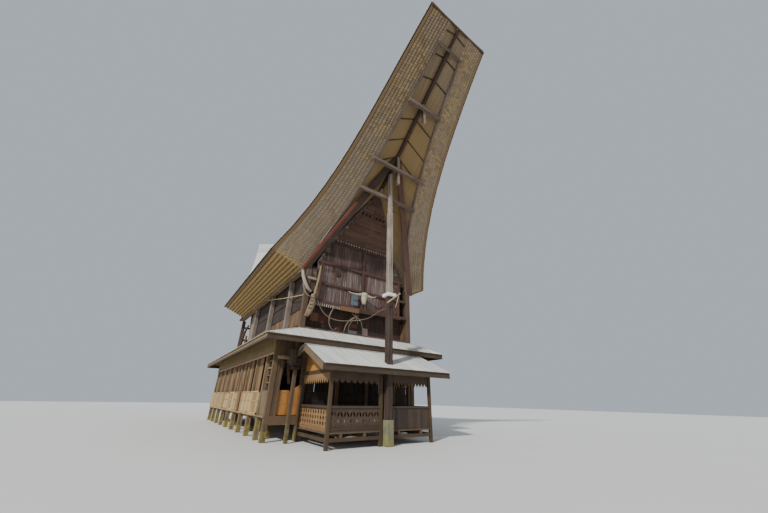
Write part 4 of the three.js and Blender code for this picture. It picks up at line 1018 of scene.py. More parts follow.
def mossy_concrete():
    """Cast concrete, weathered: pale grey with pores and rain streaks, and moss that is thickest low down."""
    made, tree, shader = new_finish("cast concrete, mossy", 0.95)
    place = add(tree, "TexCoord", out="Object")
    spot = add(tree, "Mapping", {"Vector": place, "Scale": (1, 1, 1)})
    sand = add(tree, "TexNoise", {"Vector": spot, "Scale": 260.0, "Detail": 2.0})
    cloud = add(tree, "TexNoise", {"Vector": spot, "Scale": 6.0, "Detail": 6.0, "Roughness": 0.65})
    streak_map = add(tree, "Mapping", {"Vector": place, "Scale": (22, 22, 1.5)})
    streak = add(tree, "TexNoise", {"Vector": streak_map, "Scale": 1.0, "Detail": 4.0})
    tone = add(tree, "MapRange", {"Value": cloud, "From Min": 0.3, "From Max": 0.7})
    base = add(tree, "Mix", {0: tone, 6: "#625f49", 7: "#7f7c61"}, out=2, data_type="RGBA")
    run = add(tree, "MapRange", {"Value": streak, "From Min": 0.5, "From Max": 0.7, "To Max": 0.5})
    streaked = add(tree, "Mix", {0: run, 6: base, 7: "#6c6a5c"}, out=2, data_type="RGBA")
    height = add(tree, "SeparateXYZ", {"Vector": spot}).node.outputs["Z"]
    reach = add(tree, "MapRange", {"Value": height, "From Max": 0.7, "To Min": 0.4, "To Max": 0.66})
    spread = add(tree, "Math", {0: cloud, 1: reach}, operation="SUBTRACT")
    cover = add(tree, "MapRange", {"Value": spread, "From Max": 0.1, "To Max": 0.7})
    mossy = add(tree, "Mix", {0: cover, 6: streaked, 7: "#7d7636"}, out=2, data_type="RGBA")
    bump = add(tree, "Bump", {"Height": sand, "Strength": 0.5, "Distance": 0.003})
    tree.links.new(mossy, shader.inputs["Base Color"])
    tree.links.new(bump, shader.inputs["Normal"])
    return made


plinth = worn_copy("front_prop_plinth", 0.02)
front_and_rear(plinth, "plinth_block", mossy_concrete(), ["prop_plinth"])


# Skirt roof
# A low lean-to roof goes all round the body under the room, of boards under corrugated zinc-coated sheets
# cut to the hips, with a board along its edge. The sheets stand a little past the boards, so their waves
# show as teeth.
SHEET_PAST = 0.05
SLOPE_LAP = 0.04
SHEET_REST = 0.003
EAVE_LIFT = 0.02
BATTEN_SHORT = 0.2
EDGE_LINE, END_DEEP = 0.06, 0.06
SOFFIT_BATTEN_XS = (3.39, 3.43)
skirt_zinc = zinc_sheet("zinc-coated sheet, skirt and porch", "Y")
olive_wood = bare_wood("soffit boards, olive brown", "#66552f", "#7a6942", "#3c301a")
tan_batten = bare_wood("soffit battens, tan", "#8f7a52", "#a38f68", "#5e4c30")
fascia_wood = bare_wood("edge boards, golden brown", "#7a5f3b", "#8f7850", "#463420")
shaded_fascia = bare_wood("edge boards, dark brown in painted shade", "#44362a", "#574737", "#241a13")


def corrugated_slope(metal, start, end, eave, head, reach, lapped=1):
    """Adds waved sheet from start to end along an eave; reach tells how far up each line of it goes."""
    count = round((end - start) / (PITCH / 4))
    for row in range(lapped):
        low_share, high_share = row / lapped, min((row + 1) / lapped + SLOPE_LAP, 1.0)

        def slope_spot(i, j):
            """A point of the waved sheet, i quarter waves along the eave, low for j 0 and high for j 1."""
            at = start + (end - start) * i / count
            share = reach(at) * (low_share + (high_share - low_share) * j)
            lift = WAVE * (0.5 + 0.5 * math.cos(i * math.pi / 2)) + SHEET_REST + LAP_LIFT * row
            return eave(at).lerp(head(at), share) + Vector((0, 0, lift))

        part = laid_sheet(count, 1, slope_spot)
        facing(part, 1)
        joined(metal, part)


low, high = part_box("skirt_roof")
head_x, head_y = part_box("post_row_right")[1][:2]
past_x, past_y, eave_z = high.x + SHEET_PAST, high.y + SHEET_PAST, low.z + EAVE_LIFT


def end_reach(x):
    """How far up an end's slope the sheet goes at x, cut along the hips."""
    return 1 if abs(x) < head_x else max(0.0, (past_x - abs(x)) / (past_x - head_x))


def side_reach(y):
    """How far up a side's slope the sheet goes at y, cut along the hips."""
    return min(1.0, (y - low.y + SHEET_PAST) / (-head_y - low.y), (past_y - y) / (high.y - head_y))


skirt = bmesh.new()
for sign, edge_y in ((-1, low.y), (1, high.y)):
    corrugated_slope(
        skirt,
        low.x - SHEET_PAST,
        past_x,
        lambda x: Vector((x, edge_y + sign * SHEET_PAST, eave_z)),
        lambda x: Vector((x, sign * head_y, high.z)),
        end_reach,
    )
    corrugated_slope(
        skirt,
        low.y - SHEET_PAST,
        past_y,
        lambda y: Vector((sign * past_x, y, eave_z)),
        lambda y: Vector((sign * head_x, y, high.z)),
        side_reach,
    )
thin_metal(set_piece(skirt, "skirt_corrugated", skirt_zinc))
dressed("skirt_roof", "skirt_roof_boards", olive_wood, 0)
fascia = worn_copy("skirt_fascia", 0.004)
fascia_low, fascia_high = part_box("skirt_fascia")
line_z, front_y, rear_y = fascia_low.z + EDGE_LINE, fascia_low.y + END_DEEP, fascia_high.y - END_DEEP
scored(fascia, (0, 0, line_z), (0, 0, 1))
# The boards of both ends, and the low edge of all of them, are darker with painted shade.
choose_finish(fascia, lambda face, spot: spot.y < front_y or spot.y > rear_y or spot.z < line_z)
grained(fascia)
finishes = [fascia_wood, shaded_fascia]
set_piece(fascia, "skirt_edge_boards", finishes, stands_for=["skirt_fascia"])
soffit_battens = bmesh.new()
for sign in (-1, 1):
    xs = sorted(sign * x for x in SOFFIT_BATTEN_XS)
    foot, head = (xs[0], low.y + BATTEN_SHORT, low.z - 0.02), (xs[1], high.y - BATTEN_SHORT, low.z + 0.045)
    board(soffit_battens, foot, head, 1)
finish_boards(soffit_battens, "skirt_soffit_battens", tan_batten)


# Gallery walls
# Square posts stand on the ground, mossy at the foot, and carry a ledge, browner along the front. Framed
# waist panels over a pale ledge strip are nailed to them, upright boards half close the openings, and a
# wide plain band runs under the skirt roof, with a bleached low board. All of it is hardwood.
CORNER_END = -4.7
FIRST_POST, SECOND_POST, REAR_POST, BAYS = -4.8, -4.03, 6.2, 8
HALF_POST = 0.075
SIDE_FACE = 2.9703
SLAT_FACE, RAIL_FACE = 2.86, 2.87
SLAT_FROM, SLAT_TO = 0.52, 0.96
RAIL_ZS = (1.62, 1.84, 2.07, 2.30)
FRAME_IN, FRAME_T = 0.055, 0.014
PANEL_STRIPS, PANEL_T = 5, 0.03
STRIP_WIDE = 0.2
BAND_COURSES = 3
tan_wood = bare_wood(
    "gallery posts, bleached tan", "#6c583e", "#897455", "#382a1d", moss_to=1.15, moss="#837a2e",
    streak_tone="#9c8a6d",
)
corner_wood = bare_wood(
    "gallery front timbers, brown", "#624c34", "#786146", "#33261b", moss_to=1.0, moss="#736c2c"
)
panel_wood = bare_wood("waist panels, pale tan", "#a38454", "#bfa474", "#6a5134", grain_mm=13)
band_wood = bare_wood("gallery band, olive brown", "#7c673c", "#947f50", "#4d3c22")
low_band_wood = bare_wood("gallery band, bleached low board", "#977d5a", "#b39875", "#5e4932")
brown_slat = bare_wood("gallery boards, red brown", "#7a5735", "#93714b", "#3a281c")
shaded_slat = bare_wood("gallery boards, in shade", "#2a211a", "#3a2e25", "#17110d")
for node in ("gallery_posts_left", "gallery_posts_right", "gallery_wall_rear", "gallery_wall_front"):
    wall = worn_copy(node)
    choose_finish(wall, lambda face, spot: spot.y < CORNER_END)
    grained(wall)
    set_piece(wall, f"{node}_timber", [tan_wood, corner_wood], stands_for=[node])

post_ys = [FIRST_POST] + [SECOND_POST + i * (REAR_POST - SECOND_POST) / BAYS for i in range(BAYS + 1)]
waist_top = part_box("gallery_waist_left")[1].z
opening_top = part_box("gallery_band_left")[0].z
slat_top = opening_top + 0.02


def framed_panel(bm, along, a, b, low, high, depth, number):
    """Adds a boarded panel with a raised frame; along adds a board from its ends, depth and heights."""
    for k in range(PANEL_STRIPS):
        u0, u1 = a + (b - a) * k / PANEL_STRIPS, a + (b - a) * (k + 1) / PANEL_STRIPS
        along(bm, u0 + 0.002, u1 - 0.002, depth, low, high, number * 7 + k)
    middle = low + (high - low) * 0.56
    for u0, u1, z0, z1 in (
        (a, b, low, low + FRAME_IN),
        (a, b, middle - 0.012, middle + 0.012),
        (a, b, high - FRAME_IN, high),
        (a, a + FRAME_IN, low, high),
        (b - FRAME_IN, b, low, high),
    ):
        along(bm, u0, u1, depth + FRAME_T, z0, z1, number * 7 + PANEL_STRIPS)


for side, sign in (("left", -1), ("right", 1)):

    def along_side(bm, y0, y1, depth, z0, z1, number, inner=SIDE_FACE):
        """Adds a board of the gallery's side, from its inner face outwards by its depth."""
        xs = sorted((sign * inner, sign * (inner + depth)))
        board(bm, (xs[0], y0, z0), (xs[1], y1, z1), number)

    low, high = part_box(f"gallery_waist_{side}")
    slat_foot = high.z - 0.03
    waist, slats, band = bmesh.new(), bmesh.new(), bmesh.new()
    for bay, (near, far) in enumerate(zip(post_ys, post_ys[1:])):
        y0, y1 = near + HALF_POST, far - HALF_POST
        if bay:
            a, b = max(low.y, near + 0.009), min(high.y, far + HALF_POST if bay == BAYS else far - 0.009)
            framed_panel(waist, along_side, a, b, low.z, high.z, PANEL_T, bay)
            a, b = y0 + SLAT_FROM * (y1 - y0), y0 + SLAT_TO * (y1 - y0)
            middle = (a + b) / 2
            along_side(slats, a, middle - 0.004, 0.03, slat_foot, slat_top, bay, SLAT_FACE)
            along_side(slats, middle, b, 0.026, slat_foot, slat_top, bay + 9, SLAT_FACE)
        else:
            for k, z in enumerate(RAIL_ZS):
                along_side(slats, y0, y1, 0.03, z, z + 0.045, 70 + k, RAIL_FACE)
    for k, y in enumerate((SECOND_POST + 0.16, SECOND_POST + 0.30)):
        along_side(slats, y, y + 0.035, 0.03, high.z, opening_top, 80 + k, RAIL_FACE)
    along_side(waist, low.y, high.y, 0.05, low.z - 0.035, low.z - 0.003, 90)
    finish_boards(waist, f"gallery_panels_{side}", panel_wood, [f"gallery_waist_{side}"])
    finish_boards(slats, f"gallery_slats_{side}", brown_slat)
    low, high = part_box(f"gallery_band_{side}")
    course = (high.z - low.z) / BAND_COURSES
    for k in range(BAND_COURSES):
        foot = low.z + k * course
        along_side(band, low.y, high.y, 0.03 - 0.003 * k, foot, low.z + (k + 1) * course - 0.003, 201 + k)
    along_side(band, low.y, high.y, 0.045, low.z - 0.01, low.z + 0.045, 210)
    choose_finish(band, lambda face, spot: spot.z < low.z + course)
    finishes = [band_wood, low_band_wood]
    finish_boards(band, f"gallery_band_boards_{side}", finishes, [f"gallery_band_{side}"])
loose = bmesh.new()
loose_foot = Matrix.Translation((-3.035, post_ys[3] + 0.28, 0.71))
turn = loose_foot @ Matrix.Rotation(math.radians(-5), 4, "X")
board(loose, (-0.014, -0.17, 0), (0.014, 0.17, 0.95), 3, turn)
board(loose, (-0.014, -0.06, 0.94), (0.014, 0.15, 1.14), 4, turn)
finish_boards(loose, "gallery_loose_board", brown_slat)
ends, end_slats = bmesh.new(), bmesh.new()
for face_y, out, shares, bays in (
    (6.245, 1, (0.0, 0.985), ((-2.80, -1.485), (-1.335, -0.075), (0.075, 1.335), (1.485, 2.80))),
    (-4.845, -1, (0.04, 0.93), ((-1.81, -0.695), (-0.545, 0.545), (0.695, 1.81), (1.96, 2.80))),
):

    def along_end(bm, x0, x1, depth, z0, z1, number, shift=0.0):
        """Adds a board of the gallery's end, from its face outwards by its depth."""
        ys = sorted((face_y - out * shift, face_y + out * (depth - shift)))
        board(bm, (x0, ys[0], z0), (x1, ys[1], z1), number)

    for bay, (x0, x1) in enumerate(bays):
        framed_panel(ends, along_end, x0 + 0.008, x1 - 0.008, 0.71, waist_top - 0.01, 0.006, bay + 40)
        count = round((x1 - x0) / STRIP_WIDE)
        for k in range(count):
            a, b = (x0 + (x1 - x0) * (k + share) / count for share in shares)
            thick = 0.03 - 0.002 * (k % 3)
            along_end(end_slats, a, b, thick, waist_top - 0.02, slat_top, bay * 9 + k, 0.08)
choose_finish(ends, lambda face, spot: spot.y < 0)
finish_boards(ends, "gallery_panels_ends", [brown_slat, shaded_slat])
finish_boards(end_slats, "gallery_slats_ends", shaded_slat)
low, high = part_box("gallery_floor")
deck = bmesh.new()


def deck_board(bm, x0, x1, index, own):
    """A floor board of the gallery, laid on its joists from front to rear."""
    board(bm, (x0, low.y, high.z), (x1, high.y, high.z + 0.012), index)


upright_boards(deck, low.x, high.x, 51, deck_board, 0.2)
finish_boards(deck, "gallery_floor_boards", brown_wood)
dressed("gallery_floor", "gallery_floor_joists", brown_wood, 0)


# Entrance corner
# Beside the gate a thick dark head sits on the thin corner post and takes the heavy post above, with a log
# let through it. Brown planks stand between the gallery's corner and the gate, and two lean in its opening.
log_wood = bare_wood("log end, tan", "#7d6248", "#a08a6c", "#4a3626")
entry = bmesh.new()
board(entry, (-2.60, -5.44, 2.20), (-2.41, -5.06, 2.64), 1)
board(entry, (-2.56, -5.42, 2.12), (-2.18, -5.08, 2.38), 2)
board(entry, (-2.50, -5.38, 2.02), (-2.22, -5.12, 2.12), 2)
rounded(entry, 0.025)
grained(entry)
set_piece(entry, "entry_post_head", dark_wood)
log = bmesh.new()
rod(log, [(-2.96, -5.27, 2.36), (-2.8, -5.26, 2.37), (-2.55, -5.25, 2.36)], [0.055, 0.06, 0.06], 12)
grained(log)
set_piece(log, "entry_log", log_wood)
planks = bmesh.new()
for index, (x0, x1, top_z) in enumerate(((-2.81, -2.72, 2.50), (-2.715, -2.652, 1.95))):
    board(planks, (x0, -4.86, 0.70), (x1, -4.835, top_z), index)
for index, (foot, head) in enumerate((((-2.62, 1.62), (-2.52, 2.46)), ((-2.30, 1.62), (-2.46, 2.46)))):
    run = math.atan2(head[0] - foot[0], head[1] - foot[1])
    turn = Matrix.Translation((foot[0], -4.66, foot[1])) @ Matrix.Rotation(run, 4, "Y")
    board(planks, (-0.045, -0.012, 0), (0.045, 0.012, math.dist(foot, head)), 5 + index, turn)
finish_boards(planks, "entry_planks", sheltered_post)


# Porch frame, floor and edge boards
# Planed hardwood posts, beams and plates, once varnished and now brown and worn, on which the porch floor
# and its small double-pitched roof stand. Its edge boards carry painted shade in front and painted light at
# the sides.
porch_wood = bare_wood("porch posts, worn varnish", "#48351f", "#5c4830", "#261a0f", rough=0.75)
sunlit_edge = bare_wood("edge boards, painted light at the ends", "#69553f", "#857259", "#3e2f21")
dressed("porch_frame", "porch_frame_timber", porch_wood, 0.008)
dressed("porch_floor", "porch_floor_boards", brown_wood, 0.003)
edge_boards = worn_copy("porch_fascia", 0.005)
edge_boards.normal_update()
# Faces towards the sides get painted light, the front faces painted shade.
choose_finish(edge_boards, lambda face, spot: abs(face.normal.x) > 0.5)
grained(edge_boards)
finishes = [shaded_fascia, sunlit_edge]
set_piece(edge_boards, "porch_edge_boards", finishes, stands_for=["porch_fascia"])


# Porch balustrades
# Wide boards under a moulded handrail. Both sides and the left front bay are fretted with leaf-shaped
# holes, cut right through, and the right front bay is plain upright boards in painted shade.
RING = 16
FRET_T = 0.022
RAIL_DEEP, MOULDING = 0.06, 0.03
fret_wood = bare_wood("fretted boards, worn varnish", "#916b42", "#ab8a5e", "#4a341e", rough=0.7)
plain_wood = bare_wood("porch boards, brown", "#4a3828", "#5d4a37", "#241910", rough=0.75)
rail_brown_and_shade = bare_wood("handrails, dark and handled; plain bay in painted shade", "#3a2b1f", "#4a3a2b", "#1d140d", rough=0.6)


def leaf(width, height, degrees=0):
    """Points round a leaf-shaped hole, pointed at both ends, tilted by the degrees."""
    tilt = math.radians(degrees)
    spots = []
    for i in range(RING):
        a = math.radians(45) + 2 * math.pi * i / RING
        x, z = width / 2 * math.cos(a) * abs(math.cos(a)) ** 0.7, height / 2 * math.sin(a)
        spots.append((x * math.cos(tilt) - z * math.sin(tilt), x * math.sin(tilt) + z * math.cos(tilt)))
    return spots


def fretted(bm, x0, x1, z0, z1, columns, holes, place):
    """Adds a strip of a board, cut by the holes in turn, one in each cell; place takes it to its stand."""
    cell = (x1 - x0) / columns
    for column in range(columns):
        cx, cz = x0 + (column + 0.5) * cell, (z0 + z1) / 2
        outer = []
        for i in range(RING):
            a = math.radians(45) + 2 * math.pi * i / RING
            reach = 1 / max(abs(math.cos(a)), abs(math.sin(a)))
            outer.append((cx + cell / 2 * reach * math.cos(a), cz + (z1 - z0) / 2 * reach * math.sin(a)))
        hole = [(cx + x, cz + z) for x, z in holes[column % 2]]
        rings = []
        for ring in (outer, hole):
            corners = [bm.verts.new(place(x, z)) for x, z in ring]
            rings.append([bm.edges.new((corners[i], corners[(i + 1) % RING])) for i in range(RING)])
        bmesh.ops.bridge_loops(bm, edges=rings[0] + rings[1])


def plain_strip(bm, x0, x1, z0, z1, columns, place):
    """Adds a plain strip between fretted ones, with corners that meet theirs."""
    steps = columns * 4
    for i in range(steps):
        a, b = (x0 + (x1 - x0) * (i + k) / steps for k in (0, 1))
        bm.faces.new([bm.verts.new(place(x, z)) for x, z in ((a, z0), (b, z0), (b, z1), (a, z1))])


def by_corners(face):
    """A number that puts faces in the order of their corners, since solidify leaves them in any order."""
    first, second, third = sorted(v.index for v in face.verts)[:3]
    return (first * 1e5 + second) * 1e5 + third


def thickened(bm, depth):
    """Joins the strips and gives the board its depth, holes and all."""
    bmesh.ops.remove_doubles(bm, verts=bm.verts, dist=1e-4)
    bmesh.ops.recalc_face_normals(bm, faces=bm.faces)
    bmesh.ops.solidify(bm, geom=bm.faces[:], thickness=depth)
    bmesh.ops.recalc_face_normals(bm, faces=bm.faces)
    bm.verts.index_update()
    bm.faces.sort(key=by_corners)
    return anew(bm)


def handrail(bm, node):
    """Adds the handrail of a balustrade with its moulded edge, in the second finish."""
    low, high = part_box(node)
    rail_bottom = high.z - RAIL_DEEP
    board(bm, (low.x, low.y, rail_bottom), high, 1)
    inwards = Vector((0, 0.012, 0) if high.x - low.x > high.y - low.y else (0.012, 0, 0))
    foot = Vector((low.x, low.y, rail_bottom - MOULDING))
    board(bm, foot + inwards, Vector((high.x, high.y, rail_bottom)) - inwards, 2)
    choose_finish(bm, lambda face, spot: spot.z > rail_bottom - MOULDING - 0.001)


node = "porch_balustrade_front_left"
low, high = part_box(node)
fret = bmesh.new()
face_y = low.y + 0.018


def front_place(x, z):
    """A place on the front boards' face."""
    return x, face_y, z


columns, fret_zs = 16, (0.58, 0.72, 0.90)
small_leaves = (leaf(0.04, 0.1), leaf(0.026, 0.05))
tall_leaves = (leaf(0.062, 0.15, -24), leaf(0.062, 0.15, 24))
fretted(fret, low.x, high.x, fret_zs[1], fret_zs[2], columns, tall_leaves, front_place)
fretted(fret, low.x, high.x, fret_zs[0], fret_zs[1], columns, small_leaves, front_place)
plain_strip(fret, low.x, high.x, low.z, fret_zs[0], columns, front_place)
plain_strip(fret, low.x, high.x, fret_zs[2], high.z - RAIL_DEEP, columns, front_place)
fret = thickened(fret, FRET_T)
handrail(fret, node)
for z in (0.45, 0.52):
    board(fret, (low.x, face_y - 0.012, z), (high.x, face_y + 0.002, z + 0.022), 4)
grained(fret)
set_piece(fret, "porch_fret_front_left", [plain_wood, rail_brown_and_shade], stands_for=[node])
columns, row_height, fret_foot, fret_head = 11, 0.135, 0.52, 0.925
for side in ("left", "right"):
    node = f"porch_balustrade_{side}"
    low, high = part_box(node)
    fret = bmesh.new()
    face_x = (low.x + high.x) / 2

    def side_place(y, z):
        """A place on the middle plane of the side boards."""
        return face_x, y, z

    for row in range(3):
        z0 = fret_foot + row * row_height
        leaves = [leaf(0.115, 0.13, 22 if (c + row) % 2 else -22) for c in (0, 1)]
        fretted(fret, low.y, high.y, z0, z0 + row_height, columns, leaves, side_place)
    plain_strip(fret, low.y, high.y, low.z, fret_foot, columns, side_place)
    plain_strip(fret, low.y, high.y, fret_head, high.z - RAIL_DEEP, columns, side_place)
    fret = thickened(fret, FRET_T)
    handrail(fret, node)
    for z in (0.44, 0.49):
        board(fret, (low.x + 0.008, low.y, z), (high.x - 0.008, high.y, z + 0.02), 4)
    grained(fret)
    set_piece(fret, f"porch_fret_{side}", [fret_wood, rail_brown_and_shade], stands_for=[node])
node = "porch_balustrade_front_right"
low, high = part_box(node)
plain = bmesh.new()


def porch_board(bm, x0, x1, index, own):
    """An upright board of the plain bay, up to the handrail."""
    board(bm, (x0, low.y + 0.018, low.z), (x1, high.y - 0.018, high.z - RAIL_DEEP), index)


upright_boards(plain, low.x, high.x, 61, porch_board, 0.12)
handrail(plain, node)
# The plain bay's boards take the dark handrail finish as painted shade.
finish_boards(plain, "porch_boards_front_right", rail_brown_and_shade, [node])


# Porch valances
# Thin boards under the plates, their lower edge sawn in round lobes in the left front bay and in points
# elsewhere.
for where, lobes, sharp, lobe, lobe_wood in (
    ("front_left", 8, 0.4, 0.12, plain_wood),
    ("front_right", 12, 1.0, 0.11, plain_wood),
    ("left", 13, 0.8, 0.17, fret_wood),
    ("right", 13, 0.8, 0.17, fret_wood),
):
    node = f"porch_valance_{where}"
    low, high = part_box(node)
    wide = high.x - low.x > high.y - low.y
    steps = lobes * 8

    def lobe_spot(i, j):
        """A point of the valance, i eighths of a lobe along, on its sawn edge for j 0 and on top for j 1."""
        share = i / steps
        bottom = low.z + lobe * (1 - (1 - abs(1 - 2 * (share * lobes % 1))) ** sharp)
        z = bottom + (high.z - bottom) * j
        if wide:
            return Vector((low.x + (high.x - low.x) * share, (low.y + high.y) / 2 - 0.01, z))
        return Vector(((low.x + high.x) / 2 - 0.01, low.y + (high.y - low.y) * share, z))

    valance = laid_sheet(steps, 1, lobe_spot)
    valance = thickened(valance, 0.02)
    grained(valance)
    set_piece(valance, f"{node}_lobed", lobe_wood, stands_for=[node])


# Porch gables and roof
# Boarded gables, freshly varnished orange, carry boards and corrugated zinc-coated sheets, in two lapped
# rows in front, with a folded ridge cap. The prop post goes up through the front slope.
CAP_STEPS, CAP_HALF = 24, 0.13
orange_wood = bare_wood("gable infill, orange varnish", "#b87a34", "#cc9c58", "#74491f", rough=0.6)
for side in ("left", "right"):
    dressed(f"porch_gable_{side}", f"porch_gable_{side}_boards", orange_wood, 0.003)
low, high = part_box("porch_roof")
ridge_y, eave_z, rear_z = -5.93, 2.08, 2.47
past_z = eave_z - SHEET_PAST * (high.z - eave_z) / (ridge_y - low.y)
porch_metal = bmesh.new()
corrugated_slope(
    porch_metal,
    low.x,
    high.x,
    lambda x: Vector((x, low.y - SHEET_PAST, past_z)),
    lambda x: Vector((x, ridge_y, high.z)),
    lambda x: 1.0,
    lapped=2,
)
corrugated_slope(
    porch_metal,
    low.x,
    high.x,
    lambda x: Vector((x, high.y, rear_z)),
    lambda x: Vector((x, ridge_y, high.z)),
    lambda x: 1.0,
)
thin_metal(set_piece(porch_metal, "porch_corrugated", skirt_zinc))


def porch_cap_spot(i, j):
    """A point of the folded cap, i along the ridge, on it for j 1 and down a slope for j 0 and 2."""
    x = low.x + (high.x - low.x) * i / CAP_STEPS
    return Vector((x, ridge_y + (j - 1) * CAP_HALF, high.z + 0.03 - abs(j - 1) * 0.05))


cap = laid_sheet(CAP_STEPS, 2, porch_cap_spot)
facing(cap, 1)
thin_metal(set_piece(cap, "porch_ridge_cap", skirt_zinc))
dressed("porch_roof", "porch_roof_boards", olive_wood, 0)


# Gate
# A half-height double gate: framed leaves of varnished boards on iron pin hinges, which swing inwards. The
# right leaf's top is raked.
LEAF_FACE = -4.816
LEAF_FOOT = 0.72
FRAME_WIDE = 0.06
for side, sign, jamb, peak, meet_top in (("left", 1, -2.64, 1.42, 1.42), ("right", -1, -1.96, 1.59, 1.38)):
    node = f"gate_leaf_{side}"
    leaf_boards = worn_copy(node, 0.002)
    hung, meet = jamb + sign * 0.006, -2.30 - sign * 0.006
    xs = sorted((hung, meet))
    hung_stile = (hung, hung + sign * FRAME_WIDE, peak - 0.03)
    meeting_stile = (meet - sign * FRAME_WIDE, meet, meet_top - 0.01)
    for a, b, top_z in (hung_stile, meeting_stile):
        low_x, high_x = sorted((a, b))
        board(leaf_boards, (low_x, LEAF_FACE - 0.01, LEAF_FOOT), (high_x, LEAF_FACE + 0.001, top_z), 2)
    low_x, high_x = xs[0] + FRAME_WIDE, xs[1] - FRAME_WIDE
    for z in (LEAF_FOOT, 1.02, meet_top - 0.08):
        board(leaf_boards, (low_x, LEAF_FACE - 0.008, z), (high_x, LEAF_FACE + 0.001, z + FRAME_WIDE), 3)
    grained(leaf_boards)
    name, body = f"gate_{side}_framed", f"gate_{side}"
    set_piece(leaf_boards, name, orange_wood, body=body, stands_for=[node])


# Skull and horns
# A bleached buffalo skull with its horns is nailed to the middle of the gable front, beside a small painted
# board gone blue grey.
SKULL_SIZE = 1.35
SKULL_AT = (-0.01, -5.42, 4.81)
bone = bare_wood("bleached bone", "#b3a68a", "#cfc5ab", "#83785f", grain_mm=20, rough=0.7)
slate_board = bare_wood(
    "painted board, blue grey", "#4d565a", "#646d71", "#33393c", paint="#4b5963", keep=0.3
)
skull = bmesh.new()
bmesh.ops.create_cube(skull, size=1.0)
bmesh.ops.subdivide_edges(skull, edges=skull.edges[:], cuts=3, use_grid_fill=True)
for v in skull.verts:
    co = v.co * 2
    down = (1 - co.z) / 2
    round_off = 1 - 0.25 * (co.x * co.y) ** 2
    width = (0.128 - 0.07 * down**0.8 - 0.02 * (1 - down) ** 3) * round_off
    depth = (0.075 - 0.03 * down) * round_off
    v.co = SKULL_SIZE * Vector((co.x * width, co.y * depth, 0.17 * co.z * (1 - 0.1 * co.x**2)))
for sign in (-1, 1):
    eye = SKULL_SIZE * Vector((sign * 0.06, -0.07, 0.06))
    socket = min(skull.faces, key=lambda face: (face.calc_center_median() - eye).length)
    bmesh.ops.inset_region(skull, faces=[socket], thickness=0.008, depth=-0.025)
bmesh.ops.translate(skull, vec=SKULL_AT, verts=skull.verts)
for face in skull.faces:
    face.smooth = True
left_horn = [(-0.08, -5.42, 4.985), (-0.2, -5.43, 4.95), (-0.38, -5.45, 4.915), (-0.58, -5.46, 4.91)]
right_horn = [(0.06, -5.42, 4.985), (0.18, -5.43, 4.95), (0.32, -5.45, 4.925), (0.46, -5.46, 4.95)]
rod(skull, left_horn + [(-0.76, -5.46, 4.95)], [0.05, 0.046, 0.038, 0.026, 0.008], 10)
rod(skull, right_horn + [(0.56, -5.46, 5.02)], [0.05, 0.044, 0.034, 0.022, 0.008], 10)
grained(skull)
set_piece(skull, "skull_and_horns", bone)
back_board = bmesh.new()
board(back_board, (-0.51, -5.30, 4.50), (-0.20, -5.285, 4.93), 1)
finish_boards(back_board, "skull_board", slate_board)


# Tied corner timbers and bamboo
# Curved tusk-like timbers and a straight stick are tied in a straw-bound bundle at the front left corner,
# and short grey boards stick out of it. Each point of a timber goes with its radius.
horn_wood = bare_wood("curved horn, bleached", "#8d7f72", "#a99c90", "#5b4d42")
stick_wood = bare_wood("straight pole, tan", "#94795a", "#ab9271", "#5f4930")
straw = bare_wood("straw binding", "#6d5c48", "#85735c", "#43362a", grain_mm=5)
THICK_HORN = [
    (-2.64, -5.40, 5.36, 0.045), (-2.60, -5.43, 5.15, 0.06), (-2.51, -5.44, 4.92, 0.066),
    (-2.40, -5.44, 4.75, 0.06), (-2.24, -5.43, 4.62, 0.05),
]
THIN_HORN = [
    (-2.59, -5.46, 4.86, 0.014), (-2.53, -5.47, 4.70, 0.022), (-2.46, -5.47, 4.56, 0.026),
    (-2.35, -5.47, 4.46, 0.026), (-2.2, -5.46, 4.43, 0.022),
]
STRAIGHT_STICK = [
    (-1.96, -5.40, 5.72, 0.034), (-2.02, -5.43, 5.10, 0.04), (-2.09, -5.45, 4.63, 0.046),
    (-2.21, -5.46, 4.22, 0.05), (-2.33, -5.44, 3.74, 0.045),
]
WOUND_STRAW = [
    (-2.15, -5.44, 4.56, 0.06), (-2.14, -5.44, 4.46, 0.095), (-2.13, -5.44, 4.28, 0.1),
    (-2.15, -5.44, 4.06, 0.095), (-2.22, -5.44, 3.86, 0.08), (-2.28, -5.43, 3.74, 0.05),
]
bundle = bmesh.new()
for number, (points, sides) in enumerate(((THICK_HORN, 10), (THIN_HORN, 8), (STRAIGHT_STICK, 9))):
    rod(bundle, [p[:3] for p in points], [p[3] for p in points], sides, number + 1)
layer = bundle.faces.layers.int["board"]
choose_finish(bundle, lambda face, spot: face[layer] == 3)
grained(bundle)
set_piece(bundle, "corner_horn_timbers", [horn_wood, stick_wood])
binding = bmesh.new()
rod(binding, [p[:3] for p in WOUND_STRAW], [p[3] for p in WOUND_STRAW], 11, 1)
half_turn = Vector((0, 0, 0.02))
for share in (0.12, 0.3, 0.52, 0.74):
    spot = Vector(WOUND_STRAW[1][:3]).lerp(Vector(WOUND_STRAW[4][:3]), share)
    rod(binding, [spot + half_turn, spot, spot - half_turn], [0.098, 0.108, 0.098], 11, 2)
grained(binding)
set_piece(binding, "corner_straw_binding", straw)
stub = bmesh.new()
board(stub, (-2.40, -5.36, 5.13), (-2.06, -5.27, 5.22), 1)
board(stub, (-2.21, -5.23, 4.72), (-2.03, -5.17, 5.62), 2)
finish_boards(stub, "corner_stub", grey_wood)


